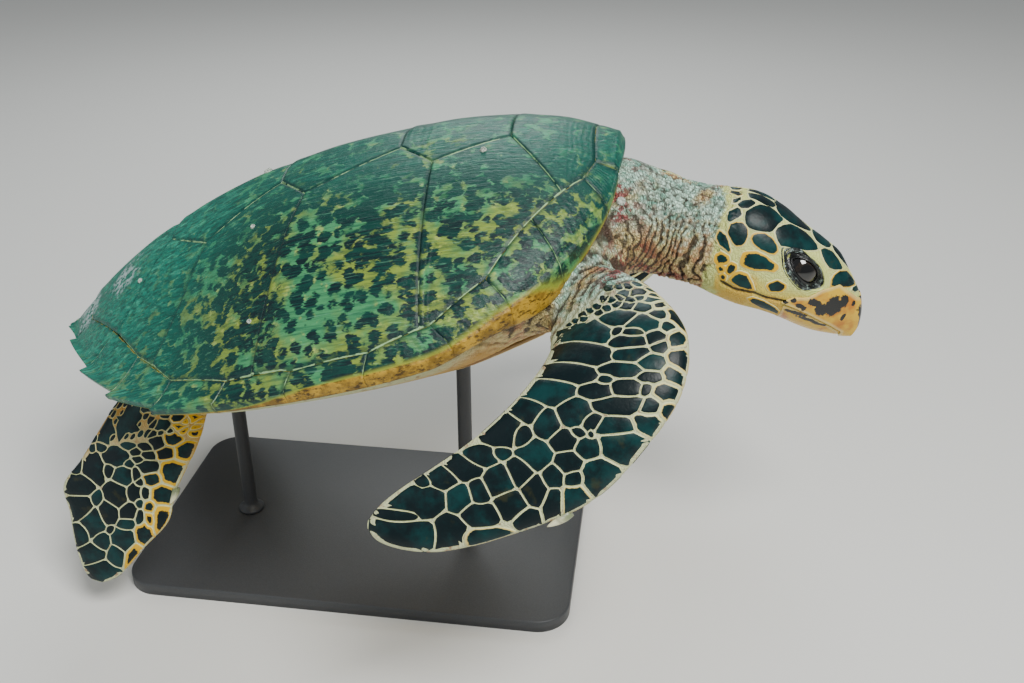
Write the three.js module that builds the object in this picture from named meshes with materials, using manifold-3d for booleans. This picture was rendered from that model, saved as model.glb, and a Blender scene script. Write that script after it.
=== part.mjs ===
// Hawksbill sea turtle: an adult as a still, life-size model, held by a plain display stand.
// Millimetres, +Z up. In the body frame X points to the head, Y to the left side and Z up from
// the plane of the shell's rim. The body frame is pitched head-up and carried above the base.

import * as THREE from 'three';
import { mergeVertices } from 'three/addons/utils/BufferGeometryUtils.js';
import Module from 'manifold-3d';

const wasm = await Module();
wasm.setup();

// Shell
const shellHalfWidth = 270;
const shellFront = 354;
const shellRear = -385;
const shellWidest = -40;
const ridgeTop = 157;
const ridgePeak = 100;
const plateThickness = 6;
const plateInset = 0.5;
const toothDepth = 9;
const firstToothedMarginal = 7;

// Trunk and plastron
const bellyDepth = 95;
const plastronHalfWidth = 0.6;
const plastronFront = 285;
const plastronRear = -285;

// Head, with its own frame: u to the snout, v up, w to the left
const headOrigin = new THREE.Vector3(425, -28, -30);
const headPitch = THREE.MathUtils.degToRad(38);
const headYaw = THREE.MathUtils.degToRad(-3);
const eyeRadius = 17;
const eyeCentre = [97, 19, 30];

// Stand
const bodyPitch = THREE.MathUtils.degToRad(15);
const bodyHeight = 375;
const baseLength = 560;
const baseWidth = 340;
const baseThickness = 16;
const rodRadius = 9;
const footRadius = 17;
const padRadius = 21;
const rodFrontX = 130;
const rodRearX = -170;

// Gaps
const pieceGap = 0.4;
const skinClearance = 3.5;
const shellClearance = 2;
const padGap = 0.9;

// Half-length seam points of the shell, right side mirrored: [x, y]
const vertebralFrontEdge = [[323, 60], [311, 87]];
const vertebralSide = [
  [[311, 87], [290, 110], [239, 38]],
  [[239, 38], [157, 72], [117, 36]],
  [[117, 36], [11, 78], [-28, 38]],
  [[-28, 38], [-123, 76], [-189, 32]],
  [[-189, 32], [-250, 116]],
];
const marginalInner = [
  [323, 60], [311, 87], [260, 146], [213, 202], [156, 235], [92, 254], [11, 260],
  [-67, 248], [-144, 219], [-204, 167], [-262, 105], [-325, 45], [-338, 0],
];
const marginalOuterX = [344, 329, 282, 233, 174, 84, 0, -80, -154, -228, -297, -358, -384];
const costalOuter = [[290, 110], [145, 238], [-35, 252], [-178, 188], [-250, 116]];

// Front flipper edges, right side, from the shoulder to the tip
const frontLead = [
  [318, -118, 2], [370, -200, 3], [399, -275, -12], [387, -315, -44], [348, -343, -78],
  [295, -361, -112], [219, -372, -129], [136, -376, -135], [88, -370, -119], [79, -363, -104],
];
const frontTrail = [
  [246, -118, -44], [259, -200, -27], [265, -250, -19], [257, -290, -17], [235, -315, -28],
  [195, -331, -49], [150, -343, -67], [118, -350, -79], [94, -357, -91], [79, -363, -104],
];
const frontThickness = [76, 62, 46, 34, 26, 20, 15, 11, 8, 4];
const elbowStation = 0.34;

// Hind flipper edges, right side, from the thigh to the tip
const hindLead = [
  [-150, -92, -40], [-170, -135, -75], [-188, -158, -105], [-227, -180, -151],
  [-243, -192, -180], [-282, -200, -206], [-330, -208, -238], [-355, -210, -243],
];
const hindTrail = [
  [-252, -92, -20], [-290, -140, -55], [-335, -165, -96], [-364, -178, -120],
  [-365, -188, -150], [-370, -198, -186], [-370, -207, -222], [-364, -210, -238],
];
const hindThickness = [52, 38, 24, 17, 13, 10, 7, 4];

// Poses of the left flippers, turned about X at the shoulder and the thigh
const leftShoulder = new THREE.Vector3(300, 150, -20);
const leftShoulderDrop = THREE.MathUtils.degToRad(-30);
const leftThigh = new THREE.Vector3(-220, 100, -40);
const leftThighDrop = THREE.MathUtils.degToRad(12);

// Height functions of the shell

function halfWidth(x) {
  if (x > shellWidest) {
    const t = Math.min((x - shellWidest) / (shellFront - shellWidest), 1);
    return shellHalfWidth * Math.pow(1 - Math.pow(t, 3.2), 0.6);
  }
  const t = Math.min((shellWidest - x) / (shellWidest - shellRear), 1);
  return shellHalfWidth * (1 - Math.pow(t, 2.27));
}

function rimHeight(x) {
  const frontRise = 62 * Math.pow(Math.max(x - 150, 0) / 180, 1.3);
  const neckArch = x > 0 ? 44 * Math.exp(-Math.pow(halfWidth(x) / 60, 2)) : 0;
  const rearRise = 10 * Math.pow(Math.max(-100 - x, 0) / 275, 1.5);
  return frontRise + neckArch + rearRise;
}

function ridgeHeight(x) {
  if (x > ridgePeak) {
    return ridgeTop - 55 * Math.pow((x - ridgePeak) / 250, 2.6);
  }
  return ridgeTop - 143 * Math.pow((ridgePeak - x) / 478, 2.2);
}

function domeHeight(x, y) {
  const r = Math.min(Math.abs(y) / Math.max(halfWidth(x), 1), 1);
  const rim = rimHeight(x);
  const flare = 0.77 + 0.83 * Math.min(Math.max(-x / 150, 0), 1);
  return rim + Math.max(ridgeHeight(x) - rim, 6) * Math.pow(1 - Math.pow(r, 1.6), flare);
}

function lipHeight(x) {
  return 10 + 22 * Math.exp(-Math.pow((x - 272) / 48, 2)) + 4 * Math.exp(-Math.pow(x / 200, 2));
}

function bellyHeight(x, r) {
  const t = Math.min(Math.abs(x - 10) / 372, 1);
  const keel = -bellyDepth * Math.pow(1 - Math.pow(t, 3.2), 0.7);
  const edge = rimHeight(x) - lipHeight(x);
  return edge + (keel - edge) * Math.pow(1 - Math.pow(Math.min(r, 1), 2), 0.9);
}

// Mesh helpers

function meshOf(positions, indices) {
  const geometry = new THREE.BufferGeometry();
  geometry.setAttribute('position', new THREE.Float32BufferAttribute(positions, 3));
  geometry.setIndex(indices);
  return geometry;
}

function toManifold(geometry) {
  let clean = geometry.clone();
  clean.deleteAttribute('normal');
  clean.deleteAttribute('uv');
  clean = mergeVertices(clean, 1e-4);
  const solid = new wasm.Manifold(new wasm.Mesh({
    numProp: 3,
    vertProperties: new Float32Array(clean.attributes.position.array),
    triVerts: new Uint32Array(clean.index.array),
  }));
  return solid;
}

function toGeometry(solid) {
  const mesh = solid.getMesh();
  return meshOf(Array.from(mesh.vertProperties), Array.from(mesh.triVerts));
}

// Closed body through rings of points, its ends closed by fans
function loftGeometry(rings) {
  const positions = [];
  const indices = [];
  const n = rings[0].length;
  for (const ring of rings) {
    for (const p of ring) positions.push(p.x, p.y, p.z);
  }
  for (let i = 0; i + 1 < rings.length; i += 1) {
    for (let j = 0; j < n; j += 1) {
      const a = i * n + j;
      const b = i * n + (j + 1) % n;
      indices.push(a, b, a + n, b, b + n, a + n);
    }
  }
  for (const end of [0, rings.length - 1]) {
    const middle = new THREE.Vector3();
    for (const p of rings[end]) middle.add(p);
    middle.divideScalar(n);
    const centre = positions.length / 3;
    positions.push(middle.x, middle.y, middle.z);
    for (let j = 0; j < n; j += 1) {
      const a = end * n + j;
      const b = end * n + (j + 1) % n;
      if (end === 0) indices.push(centre, b, a);
      else indices.push(centre, a, b);
    }
  }
  const geometry = meshOf(positions, indices);
  return signedVolume(geometry) < 0 ? flipped(geometry) : geometry;
}

function signedVolume(geometry) {
  const p = geometry.attributes.position;
  const index = geometry.index;
  const [a, b, c] = [new THREE.Vector3(), new THREE.Vector3(), new THREE.Vector3()];
  let volume = 0;
  for (let i = 0; i < index.count; i += 3) {
    a.fromBufferAttribute(p, index.getX(i));
    b.fromBufferAttribute(p, index.getX(i + 1));
    c.fromBufferAttribute(p, index.getX(i + 2));
    volume += a.dot(b.cross(c)) / 6;
  }
  return volume;
}

function flipped(geometry) {
  const index = Array.from(geometry.index.array);
  for (let i = 0; i < index.length; i += 3) {
    [index[i + 1], index[i + 2]] = [index[i + 2], index[i + 1]];
  }
  geometry.setIndex(index);
  return geometry;
}

function mirrored(geometry) {
  const copy = geometry.clone();
  copy.applyMatrix4(new THREE.Matrix4().makeScale(1, -1, 1));
  return flipped(copy);
}

function halfSpace(point, normal, back) {
  const size = 1200;
  const box = new THREE.BoxGeometry(size, size, size);
  box.translate(0, 0, size / 2 + back);
  const turn = new THREE.Quaternion().setFromUnitVectors(new THREE.Vector3(0, 0, 1), normal);
  box.applyQuaternion(turn);
  box.translate(point.x, point.y, point.z);
  return toManifold(box);
}

// Shell plates: patches between four seams, laid on the dome

function alongPath(points, t) {
  const spans = points.length - 1;
  const i = Math.min(Math.floor(t * spans), spans - 1);
  const f = t * spans - i;
  return [
    points[i][0] + (points[i + 1][0] - points[i][0]) * f,
    points[i][1] + (points[i + 1][1] - points[i][1]) * f,
  ];
}

function blendPatch(patch, s, t) {
  const [front, rear, right, left] = [
    alongPath(patch.front, s), alongPath(patch.rear, s),
    alongPath(patch.right, t), alongPath(patch.left, t),
  ];
  const corner = (path, f) => alongPath(path, f);
  return [0, 1].map((k) => (1 - t) * front[k] + t * rear[k] + (1 - s) * right[k] + s * left[k]
    - (1 - s) * (1 - t) * corner(patch.front, 0)[k] - s * (1 - t) * corner(patch.front, 1)[k]
    - (1 - s) * t * corner(patch.rear, 0)[k] - s * t * corner(patch.rear, 1)[k]);
}

function plateGeometry(patch, across, along, heightAt, thickness) {
  const [cx, cy] = blendPatch(patch, 0.5, 0.5);
  const rings = [];
  for (let i = 0; i <= along; i += 1) {
    const upper = [];
    const lower = [];
    for (let j = 0; j <= across; j += 1) {
      const [x, y] = blendPatch(patch, j / across, i / along);
      const reach = Math.hypot(x - cx, y - cy);
      const shrink = 1 - plateInset / Math.max(reach, 4 * plateInset);
      const px = cx + (x - cx) * shrink;
      const py = cy + (y - cy) * shrink;
      const z = heightAt(px, py);
      upper.push(new THREE.Vector3(px, py, z));
      lower.unshift(new THREE.Vector3(px, py, z - thickness));
    }
    rings.push([...upper, ...lower]);
  }
  return gridLoft(rings, across + 1);
}

// Loft whose end rings are closed as a strip between their upper and lower halves
function gridLoft(rings, half) {
  const positions = [];
  const indices = [];
  const n = rings[0].length;
  for (const ring of rings) {
    for (const p of ring) positions.push(p.x, p.y, p.z);
  }
  for (let i = 0; i + 1 < rings.length; i += 1) {
    for (let j = 0; j < n; j += 1) {
      const a = i * n + j;
      const b = i * n + (j + 1) % n;
      indices.push(a, b, a + n, b, b + n, a + n);
    }
  }
  for (const end of [0, rings.length - 1]) {
    for (let j = 0; j + 1 < half; j += 1) {
      const a = end * n + j;
      const b = a + 1;
      const c = end * n + n - 2 - j;
      const d = end * n + n - 1 - j;
      if (end === 0) indices.push(a, c, b, a, d, c);
      else indices.push(a, b, c, a, c, d);
    }
  }
  const geometry = meshOf(positions, indices);
  return signedVolume(geometry) < 0 ? flipped(geometry) : geometry;
}

const mirrorPath = (points) => points.map(([x, y]) => [x, -y]);

function vertebralPatch(k) {
  const left = vertebralSide[k];
  const ends = [left[0], left[left.length - 1]];
  const patch = {
    front: [mirrorPath(ends)[0], ends[0]],
    rear: [mirrorPath(ends)[1], ends[1]],
    left,
    right: mirrorPath(left),
  };
  if (k === 0) {
    const [inner, outer] = vertebralFrontEdge;
    patch.front = [...mirrorPath([outer, inner]), inner, outer];
  }
  if (k === 4) {
    const inner = marginalInner.slice(10, 12);
    patch.rear = [
      mirrorPath(ends)[1], ...mirrorPath(inner), [-338, 0], ...inner.reverse(), ends[1],
    ];
  }
  return patch;
}

function costalPatch(k) {
  const side = vertebralSide[k];
  const next = vertebralSide[k + 1];
  const top = [side[side.length - 1], next[1]];
  if (k === 3) top[1] = vertebralSide[4][0];
  const front = k === 0 ? [side[2], side[1]] : [side[1], costalOuter[k]];
  const rear = k === 3 ? [vertebralSide[4][0], costalOuter[4]] : [next[1], costalOuter[k + 1]];
  const inner = k === 0 ? [side[2], next[1]] : [side[1], side[2], next[1]];
  if (k === 3) inner.splice(0, 3, side[1], side[2]);
  const rim = marginalInner.filter(([x]) => x < front[1][0] && x > rear[1][0]);
  return { front, rear, right: inner, left: [front[1], ...rim, rear[1]] };
}

// Marginals: wedges along the rim, with their yellow undersides

function marginalRings(k, grow) {
  const steps = 2;
  const rings = [];
  for (let i = 0; i <= steps; i += 1) {
    const reach = 1 + (grow > 0 ? 0.08 : -0.012);
    const s = 0.5 + (i / steps - 0.5) * reach;
    const inner = [0, 1].map((c) => marginalInner[k][c]
      + (marginalInner[k + 1][c] - marginalInner[k][c]) * s);
    const outerX = marginalOuterX[k] + (marginalOuterX[k + 1] - marginalOuterX[k]) * s;
    const outer = [outerX, halfWidth(outerX)];
    const away = new THREE.Vector2(outer[0] - inner[0], outer[1] - inner[1]).normalize();
    const tooth = k >= firstToothedMarginal ? toothDepth * Math.pow(Math.max(s, 0), 1.6) : 0;
    const tip = [outer[0] + away.x * tooth, Math.max(outer[1] + away.y * tooth, 0)];
    const rim = rimHeight(outerX);
    const lip = lipHeight(outerX);
    const place = (f, z) => new THREE.Vector3(
      inner[0] + (tip[0] - inner[0]) * f, Math.max(inner[1] + (tip[1] - inner[1]) * f, 0.3), z);
    const middle = place(0.5, 0);
    middle.z = domeHeight(middle.x, middle.y);
    const ring = [
      place(0, domeHeight(inner[0], inner[1])),
      middle,
      place(1, rim),
      place(0.8, rim - lip),
      place(0, Math.min(rim - lip + 4, domeHeight(inner[0], inner[1]) - plateThickness - 3)),
    ];
    const centre = ring.reduce((sum, p) => sum.add(p), new THREE.Vector3()).divideScalar(5);
    for (const p of ring) {
      const out = p.clone().sub(centre).normalize();
      p.addScaledVector(out, grow > 0 ? grow : -plateInset * 0.7);
      p.y = Math.max(p.y, grow > 0 ? -0.5 : 0.3);
    }
    rings.push(ring);
  }
  return rings;
}

function nuchalRings(grow) {
  const rings = [];
  for (const side of [-1, -0.4, 0.4, 1]) {
    const reach = side * (grow > 0 ? 1.08 : 0.985);
    const inner = [323, 60 * reach];
    const bow = 1 - side * side;
    const outer = [344 + 6 * bow, 54 * reach];
    const rim = rimHeight(344) + 6 * bow;
    const ring = [
      new THREE.Vector3(inner[0], inner[1], domeHeight(inner[0], inner[1])),
      new THREE.Vector3((inner[0] + outer[0]) / 2, (inner[1] + outer[1]) / 2,
        (domeHeight(inner[0], inner[1]) + rim) / 2 + 3),
      new THREE.Vector3(outer[0], outer[1], rim),
      new THREE.Vector3(outer[0] - 5, outer[1], rim - 9),
      new THREE.Vector3(inner[0], inner[1], domeHeight(inner[0], inner[1]) - plateThickness - 4),
    ];
    const centre = ring.reduce((sum, p) => sum.add(p), new THREE.Vector3()).divideScalar(5);
    for (const p of ring) {
      const out = p.clone().sub(centre).normalize();
      p.addScaledVector(out, grow > 0 ? grow : -plateInset * 0.7);
    }
    rings.push(ring);
  }
  return rings;
}

// Trunk: the body under the plates, and the chest between the shoulders

function trunkSolid(grow) {
  const rings = [];
  const stations = [-372, -350, -310, -260, -200, -130, -50, 40, 130, 200, 255, 300, 330, 346];
  const half = 9;
  for (const x of stations) {
    const ring = [];
    const reach = Math.max(halfWidth(x) * 0.975, 6);
    for (let j = 0; j <= half; j += 1) {
      const r = Math.sin(Math.PI * (j / half - 0.5));
      const y = reach * r;
      const top = domeHeight(x, y) - plateThickness - skinClearance + grow;
      ring.push(new THREE.Vector3(x, y, top));
    }
    for (let j = half - 1; j > 0; j -= 1) {
      const r = Math.sin(Math.PI * (j / half - 0.5));
      ring.push(new THREE.Vector3(x, reach * r, bellyHeight(x, Math.abs(r)) - grow));
    }
    rings.push(ring);
  }
  const chest = new THREE.SphereGeometry(1, 16, 8);
  chest.rotateX(Math.PI / 2);
  chest.scale(92 + grow, 176 + grow, 66 + grow);
  chest.translate(250, 0, -12);
  return toManifold(loftGeometry(rings)).add(toManifold(chest));
}

// Neck: oval rings along a bent centre line

const neckStations = [
  { c: [270, -2, 22], w: 96, h: 70, tilt: 2 },
  { c: [330, -7, 22], w: 78, h: 69, tilt: 14 },
  { c: [362, -14, 9], w: 63, h: 60, tilt: 28 },
  { c: [393, -22, -9], w: 57, h: 56, tilt: 34 },
  { c: [432, -29, -34], w: 54, h: 56, tilt: 38 },
];

function ovalRing(centre, across, up, w, top, bottom, count, power) {
  const ring = [];
  for (let j = 0; j < count; j += 1) {
    const a = (2 * Math.PI * j) / count;
    const c = Math.cos(a);
    const s = Math.sin(a);
    const p = Math.sign(c) * Math.pow(Math.abs(c), power) * w;
    const q = Math.sign(s) * Math.pow(Math.abs(s), power) * (s > 0 ? top : bottom);
    ring.push(centre.clone().addScaledVector(across, p).addScaledVector(up, q));
  }
  return ring;
}

function neckSolid(grow) {
  const rings = neckStations.map(({ c, w, h, tilt }) => {
    const a = THREE.MathUtils.degToRad(tilt);
    const up = new THREE.Vector3(Math.sin(a), 0, Math.cos(a));
    const across = new THREE.Vector3(0, 1, 0);
    return ovalRing(new THREE.Vector3(...c), across, up, w + grow, h + grow, h + grow, 20, 1);
  });
  return toManifold(loftGeometry(rings));
}

// Head: rings in the head's frame, parted into flesh, beak and eyes

const headFrame = new THREE.Matrix4()
  .makeTranslation(headOrigin)
  .multiply(new THREE.Matrix4().makeRotationZ(headYaw))
  .multiply(new THREE.Matrix4().makeRotationY(headPitch));

const headStations = [
  { u: 0, w: 52, top: 64, bottom: 52 },
  { u: 22, w: 55, top: 69, bottom: 53 },
  { u: 48, w: 56, top: 67, bottom: 52 },
  { u: 76, w: 51, top: 62, bottom: 47 },
  { u: 102, w: 43, top: 57, bottom: 45 },
  { u: 122, w: 35, top: 52, bottom: 45 },
  { u: 142, w: 27, top: 39, bottom: 44 },
  { u: 164, w: 18, top: 22, bottom: 40 },
  { u: 178, w: 11, top: 5, bottom: 38 },
  { u: 187, w: 5, top: -14, bottom: 37 },
];

function headSolid() {
  const rings = headStations.map(({ u, w, top, bottom }) => {
    const middle = Math.min(0, top - 8);
    const centre = new THREE.Vector3(u, 0, middle);
    return ovalRing(centre, new THREE.Vector3(0, 1, 0), new THREE.Vector3(0, 0, 1),
      w, top - middle, bottom + middle, 20, 0.9);
  });
  return toManifold(loftGeometry(rings).applyMatrix4(headFrame));
}

const upperBeakOutline = [
  [94, -25], [98, -13], [124, -5], [140, 12], [160, 38], [200, 38], [200, -56], [184, -56],
  [179, -40], [168, -25],
];
const lowerBeakOutline = [
  [104, -25], [168, -25], [179, -40], [184, -56], [184, -70], [112, -70], [108, -42],
];

function outlinePrism(outline) {
  const shape = new THREE.Shape(outline.map(([u, v]) => new THREE.Vector2(u, v)));
  const prism = new THREE.ExtrudeGeometry(shape, { depth: 160, bevelEnabled: false, steps: 1 });
  prism.translate(0, 0, -80);
  prism.rotateX(Math.PI / 2);
  return toManifold(prism.applyMatrix4(headFrame));
}

function outlineSeams(outline) {
  let seams = null;
  outline.forEach(([u, v], i) => {
    const [nextU, nextV] = outline[(i + 1) % outline.length];
    const length = Math.hypot(nextU - u, nextV - v);
    const slab = new THREE.BoxGeometry(length + pieceGap, 160, pieceGap);
    slab.rotateY(-Math.atan2(nextV - v, nextU - u));
    slab.translate((u + nextU) / 2, 0, (v + nextV) / 2);
    const solid = toManifold(slab.applyMatrix4(headFrame));
    seams = seams ? seams.add(solid) : solid;
  });
  return seams;
}

function eyeSolid(side, grow) {
  const eye = new THREE.SphereGeometry(eyeRadius + grow, 12, 8);
  eye.translate(eyeCentre[0], side * eyeCentre[2], eyeCentre[1]);
  return toManifold(eye.applyMatrix4(headFrame));
}

// Flippers: flat rings between a leading and a trailing edge

function flipperRings(lead, trail, thickness, steps) {
  const leadCurve = new THREE.CatmullRomCurve3(lead.map((p) => new THREE.Vector3(...p)));
  const trailCurve = new THREE.CatmullRomCurve3(trail.map((p) => new THREE.Vector3(...p)));
  const rings = [];
  const middleAt = (t) => leadCurve.getPoint(t).add(trailCurve.getPoint(t)).multiplyScalar(0.5);
  for (let i = 0; i <= steps; i += 1) {
    const t = (i / steps) * 0.985;
    const a = leadCurve.getPoint(t);
    const b = trailCurve.getPoint(t);
    const middle = a.clone().add(b).multiplyScalar(0.5);
    const axis = middleAt(Math.min(t + 0.02, 1)).sub(middleAt(Math.max(t - 0.02, 0))).normalize();
    const chord = b.clone().sub(a);
    const width = Math.max(chord.length(), 8);
    chord.normalize();
    const up = new THREE.Vector3().crossVectors(chord, axis).normalize();
    const place = t * (thickness.length - 1);
    const k = Math.min(Math.floor(place), thickness.length - 2);
    const thick = thickness[k] + (thickness[k + 1] - thickness[k]) * (place - k);
    const ring = [];
    const count = 12;
    for (let j = 0; j < count; j += 1) {
      const angle = (2 * Math.PI * j) / count;
      const along = Math.cos(angle);
      const taper = 1 + 0.35 * along * Math.min(1, 30 / thick);
      ring.push(middle.clone()
        .addScaledVector(chord, -along * width / 2)
        .addScaledVector(up, Math.sin(angle) * taper * thick / 2));
    }
    rings.push(ring);
  }
  return { rings, middleAt };
}

function turnedLeft(geometry, pivot, angle) {
  const left = mirrored(geometry);
  left.translate(-pivot.x, -pivot.y, -pivot.z);
  left.rotateX(angle);
  left.translate(pivot.x, pivot.y, pivot.z);
  return left;
}

function clawGeometry([root, direction, length, radius], grow) {
  const claw = new THREE.ConeGeometry(radius + grow, length + 4 * grow, 8, 2);
  claw.translate(0, length / 2, 0);
  const aim = direction.clone().normalize();
  const turn = new THREE.Quaternion().setFromUnitVectors(new THREE.Vector3(0, 1, 0), aim);
  claw.applyQuaternion(turn);
  claw.translate(root.x, root.y, root.z);
  return claw;
}

// Materials

const finish = (color, roughness, metalness = 0) => new THREE.MeshStandardMaterial({
  color, roughness, metalness,
});
const shellFinish = () => finish(0x3f6b4a, 0.45);
const fleshFinish = () => finish(0xb9ab8c, 0.6);
const scaleFinish = () => finish(0x26333a, 0.5);

// Assembly in the body frame

const turtle = new THREE.Group();

function addMesh(name, geometry, material, parent = turtle) {
  const mesh = new THREE.Mesh(geometry, material);
  mesh.name = name;
  parent.add(mesh);
  return mesh;
}

const shellPieces = [];

function addPlate(name, geometry) {
  addMesh(name, geometry, shellFinish());
  return geometry;
}

const nuchalPlate = addPlate('nuchal', loftGeometry(nuchalRings(0)));
shellPieces.push(toManifold(nuchalPlate), toManifold(loftGeometry(nuchalRings(shellClearance))));

for (let k = 0; k < 5; k += 1) {
  addPlate(`vertebral_${k + 1}`, plateGeometry(vertebralPatch(k), 6, 4, domeHeight,
    plateThickness));
}

for (let k = 0; k < 4; k += 1) {
  const plate = plateGeometry(costalPatch(k), 4, 4, domeHeight, plateThickness);
  addPlate(`costal_left_${k + 1}`, plate);
  addPlate(`costal_right_${k + 1}`, mirrored(plate));
}

for (let k = 0; k < 12; k += 1) {
  const plate = loftGeometry(marginalRings(k, 0));
  addPlate(`marginal_left_${k + 1}`, plate);
  addPlate(`marginal_right_${k + 1}`, mirrored(plate));
  const grown = loftGeometry(marginalRings(k, shellClearance));
  for (const shape of [plate, grown]) {
    shellPieces.push(toManifold(shape), toManifold(mirrored(shape)));
  }
}

function clearOfShell(solid) {
  return shellPieces.reduce((rest, piece) => rest.subtract(piece), solid);
}

// Plastron, under the belly
const plastronPatch = {
  front: [[plastronFront, -95], [plastronFront + 12, 0], [plastronFront, 95]],
  rear: [[plastronRear, -62], [plastronRear - 10, 0], [plastronRear, 62]],
  left: [plastronFront, 150, 0, -150, plastronRear].map((x, i) => [
    x, [95, plastronHalfWidth * 245, plastronHalfWidth * 270, plastronHalfWidth * 250, 62][i],
  ]),
};
plastronPatch.right = mirrorPath(plastronPatch.left);
const underBelly = (x, y) => bellyHeight(x, Math.abs(y) / (halfWidth(x) * 0.975)) - skinClearance;
const trunkGrown = trunkSolid(2 * pieceGap).add(trunkSolid(0));
const plastronBlank = toManifold(
  plateGeometry(plastronPatch, 6, 6, underBelly, plateThickness),
);
const plastronGrown = toManifold(
  plateGeometry(plastronPatch, 6, 6, underBelly, plateThickness + 2 * pieceGap),
);
addMesh('plastron', toGeometry(plastronBlank.subtract(trunkGrown)), finish(0xcdbb7a, 0.5));

// Head pieces
const headSeams = outlineSeams(upperBeakOutline).add(outlineSeams(lowerBeakOutline));
const wholeHead = headSolid();
const partedHead = wholeHead.subtract(headSeams);
const upperBeakPrism = outlinePrism(upperBeakOutline);
const lowerBeakPrism = outlinePrism(lowerBeakOutline);
let headFlesh = partedHead.subtract(upperBeakPrism).subtract(lowerBeakPrism);
for (const side of [-1, 1]) {
  headFlesh = headFlesh.subtract(eyeSolid(side, pieceGap));
}
addMesh('head', toGeometry(headFlesh), fleshFinish());
addMesh('beak_upper', toGeometry(partedHead.intersect(upperBeakPrism)), finish(0xc9a04a, 0.4));
addMesh('beak_lower', toGeometry(partedHead.intersect(lowerBeakPrism)), finish(0xc9a04a, 0.4));
addMesh('eye_right', toGeometry(eyeSolid(-1, 0)), finish(0x0c0c0e, 0.1));
addMesh('eye_left', toGeometry(eyeSolid(1, 0)), finish(0x0c0c0e, 0.1));

// Neck between the head's back plane and the trunk
const headAxis = new THREE.Vector3(1, 0, 0).transformDirection(headFrame);
const neckBody = neckSolid(0)
  .subtract(trunkGrown)
  .subtract(halfSpace(headOrigin, headAxis, -pieceGap));
addMesh('neck', toGeometry(clearOfShell(neckBody)), fleshFinish());

// Tail
const tailRings = [[-300, 34, 26], [-335, 26, 20], [-368, 16, 12], [-396, 6, 5]];
function tailSolid() {
  const rings = tailRings.map(([x, w, h]) => ovalRing(new THREE.Vector3(x, 0, -30 - (x + 300) / 12),
    new THREE.Vector3(0, 1, 0), new THREE.Vector3(0, 0, 1), w, h, h, 12, 1));
  return toManifold(loftGeometry(rings));
}
addMesh('tail', toGeometry(clearOfShell(tailSolid().subtract(trunkGrown))), fleshFinish());

// Flippers and claws
const frontWhole = flipperRings(frontLead, frontTrail, frontThickness, 20);
const hindWhole = flipperRings(hindLead, hindTrail, hindThickness, 13);
const frontGeometry = loftGeometry(frontWhole.rings);
const hindGeometry = loftGeometry(hindWhole.rings);
const elbowPoint = frontWhole.middleAt(elbowStation);
const elbowAxis = frontWhole.middleAt(elbowStation + 0.04).sub(elbowPoint).normalize();

const clawShapes = {
  front: [new THREE.Vector3(272, -364, -119), new THREE.Vector3(-0.8, -0.25, -0.55), 24, 5],
  hind: [new THREE.Vector3(-224, -179, -146), new THREE.Vector3(-0.35, -0.3, -0.9), 20, 4.5],
};

const sides = [
  { name: 'right', place: (geometry) => geometry.clone(), placeHind: (g) => g.clone() },
  {
    name: 'left',
    place: (geometry) => turnedLeft(geometry, leftShoulder, leftShoulderDrop),
    placeHind: (geometry) => turnedLeft(geometry, leftThigh, leftThighDrop),
  },
];

const neckGrown = neckSolid(2 * pieceGap);

for (const { name, place, placeHind } of sides) {
  const front = toManifold(place(frontGeometry)).subtract(trunkGrown).subtract(neckGrown);
  const cutter = halfSpace(elbowPoint, elbowAxis, 0);
  const cutterGeometry = place(toGeometry(cutter));
  const beyond = toManifold(cutterGeometry);
  const beyondGap = toManifold(place(toGeometry(halfSpace(elbowPoint, elbowAxis, -pieceGap))));
  const clawCutter = toManifold(place(clawGeometry(clawShapes.front, 2 * pieceGap)));
  const blade = front.intersect(beyond).subtract(clawCutter);
  addMesh(`front_arm_${name}`, toGeometry(clearOfShell(front.subtract(beyondGap))),
    fleshFinish());
  addMesh(`front_blade_${name}`, toGeometry(blade), scaleFinish());
  addMesh(`front_claw_${name}`, place(clawGeometry(clawShapes.front, 0)), finish(0xb8a77a, 0.4));
  const hindCutter = toManifold(placeHind(clawGeometry(clawShapes.hind, 2 * pieceGap)));
  const hind = toManifold(placeHind(hindGeometry)).subtract(trunkGrown)
    .subtract(plastronGrown);
  addMesh(`hind_flipper_${name}`, toGeometry(clearOfShell(hind.subtract(hindCutter))),
    scaleFinish());
  addMesh(`hind_claw_${name}`, placeHind(clawGeometry(clawShapes.hind, 0)),
    finish(0xb8a77a, 0.4));
}

addMesh('trunk', toGeometry(clearOfShell(trunkSolid(0))), fleshFinish());

// The turtle on its stand: a flat base, and two rods whose pads follow the belly
const model = new THREE.Group();
turtle.rotation.y = -bodyPitch;
turtle.position.z = bodyHeight;
turtle.updateMatrixWorld(true);
model.add(turtle);

function roundedSlab(length, width, thickness, corner) {
  const [x, y] = [length / 2 - corner, width / 2 - corner];
  const shape = new THREE.Shape();
  shape.absarc(x, y, corner, 0, Math.PI / 2);
  shape.absarc(-x, y, corner, Math.PI / 2, Math.PI);
  shape.absarc(-x, -y, corner, Math.PI, 1.5 * Math.PI);
  shape.absarc(x, -y, corner, 1.5 * Math.PI, 2 * Math.PI);
  return new THREE.ExtrudeGeometry(shape, {
    depth: thickness, bevelEnabled: false, steps: 1, curveSegments: 6,
  });
}

const standFinish = () => finish(0x2a2a2c, 0.4, 0.6);
addMesh('stand_base', roundedSlab(baseLength, baseWidth, baseThickness, 40), standFinish(), model);

const bellyBlank = trunkSolid(skinClearance + plateThickness + padGap).add(plastronGrown);
const bellyCutter = toManifold(toGeometry(bellyBlank).applyMatrix4(turtle.matrixWorld));

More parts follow.
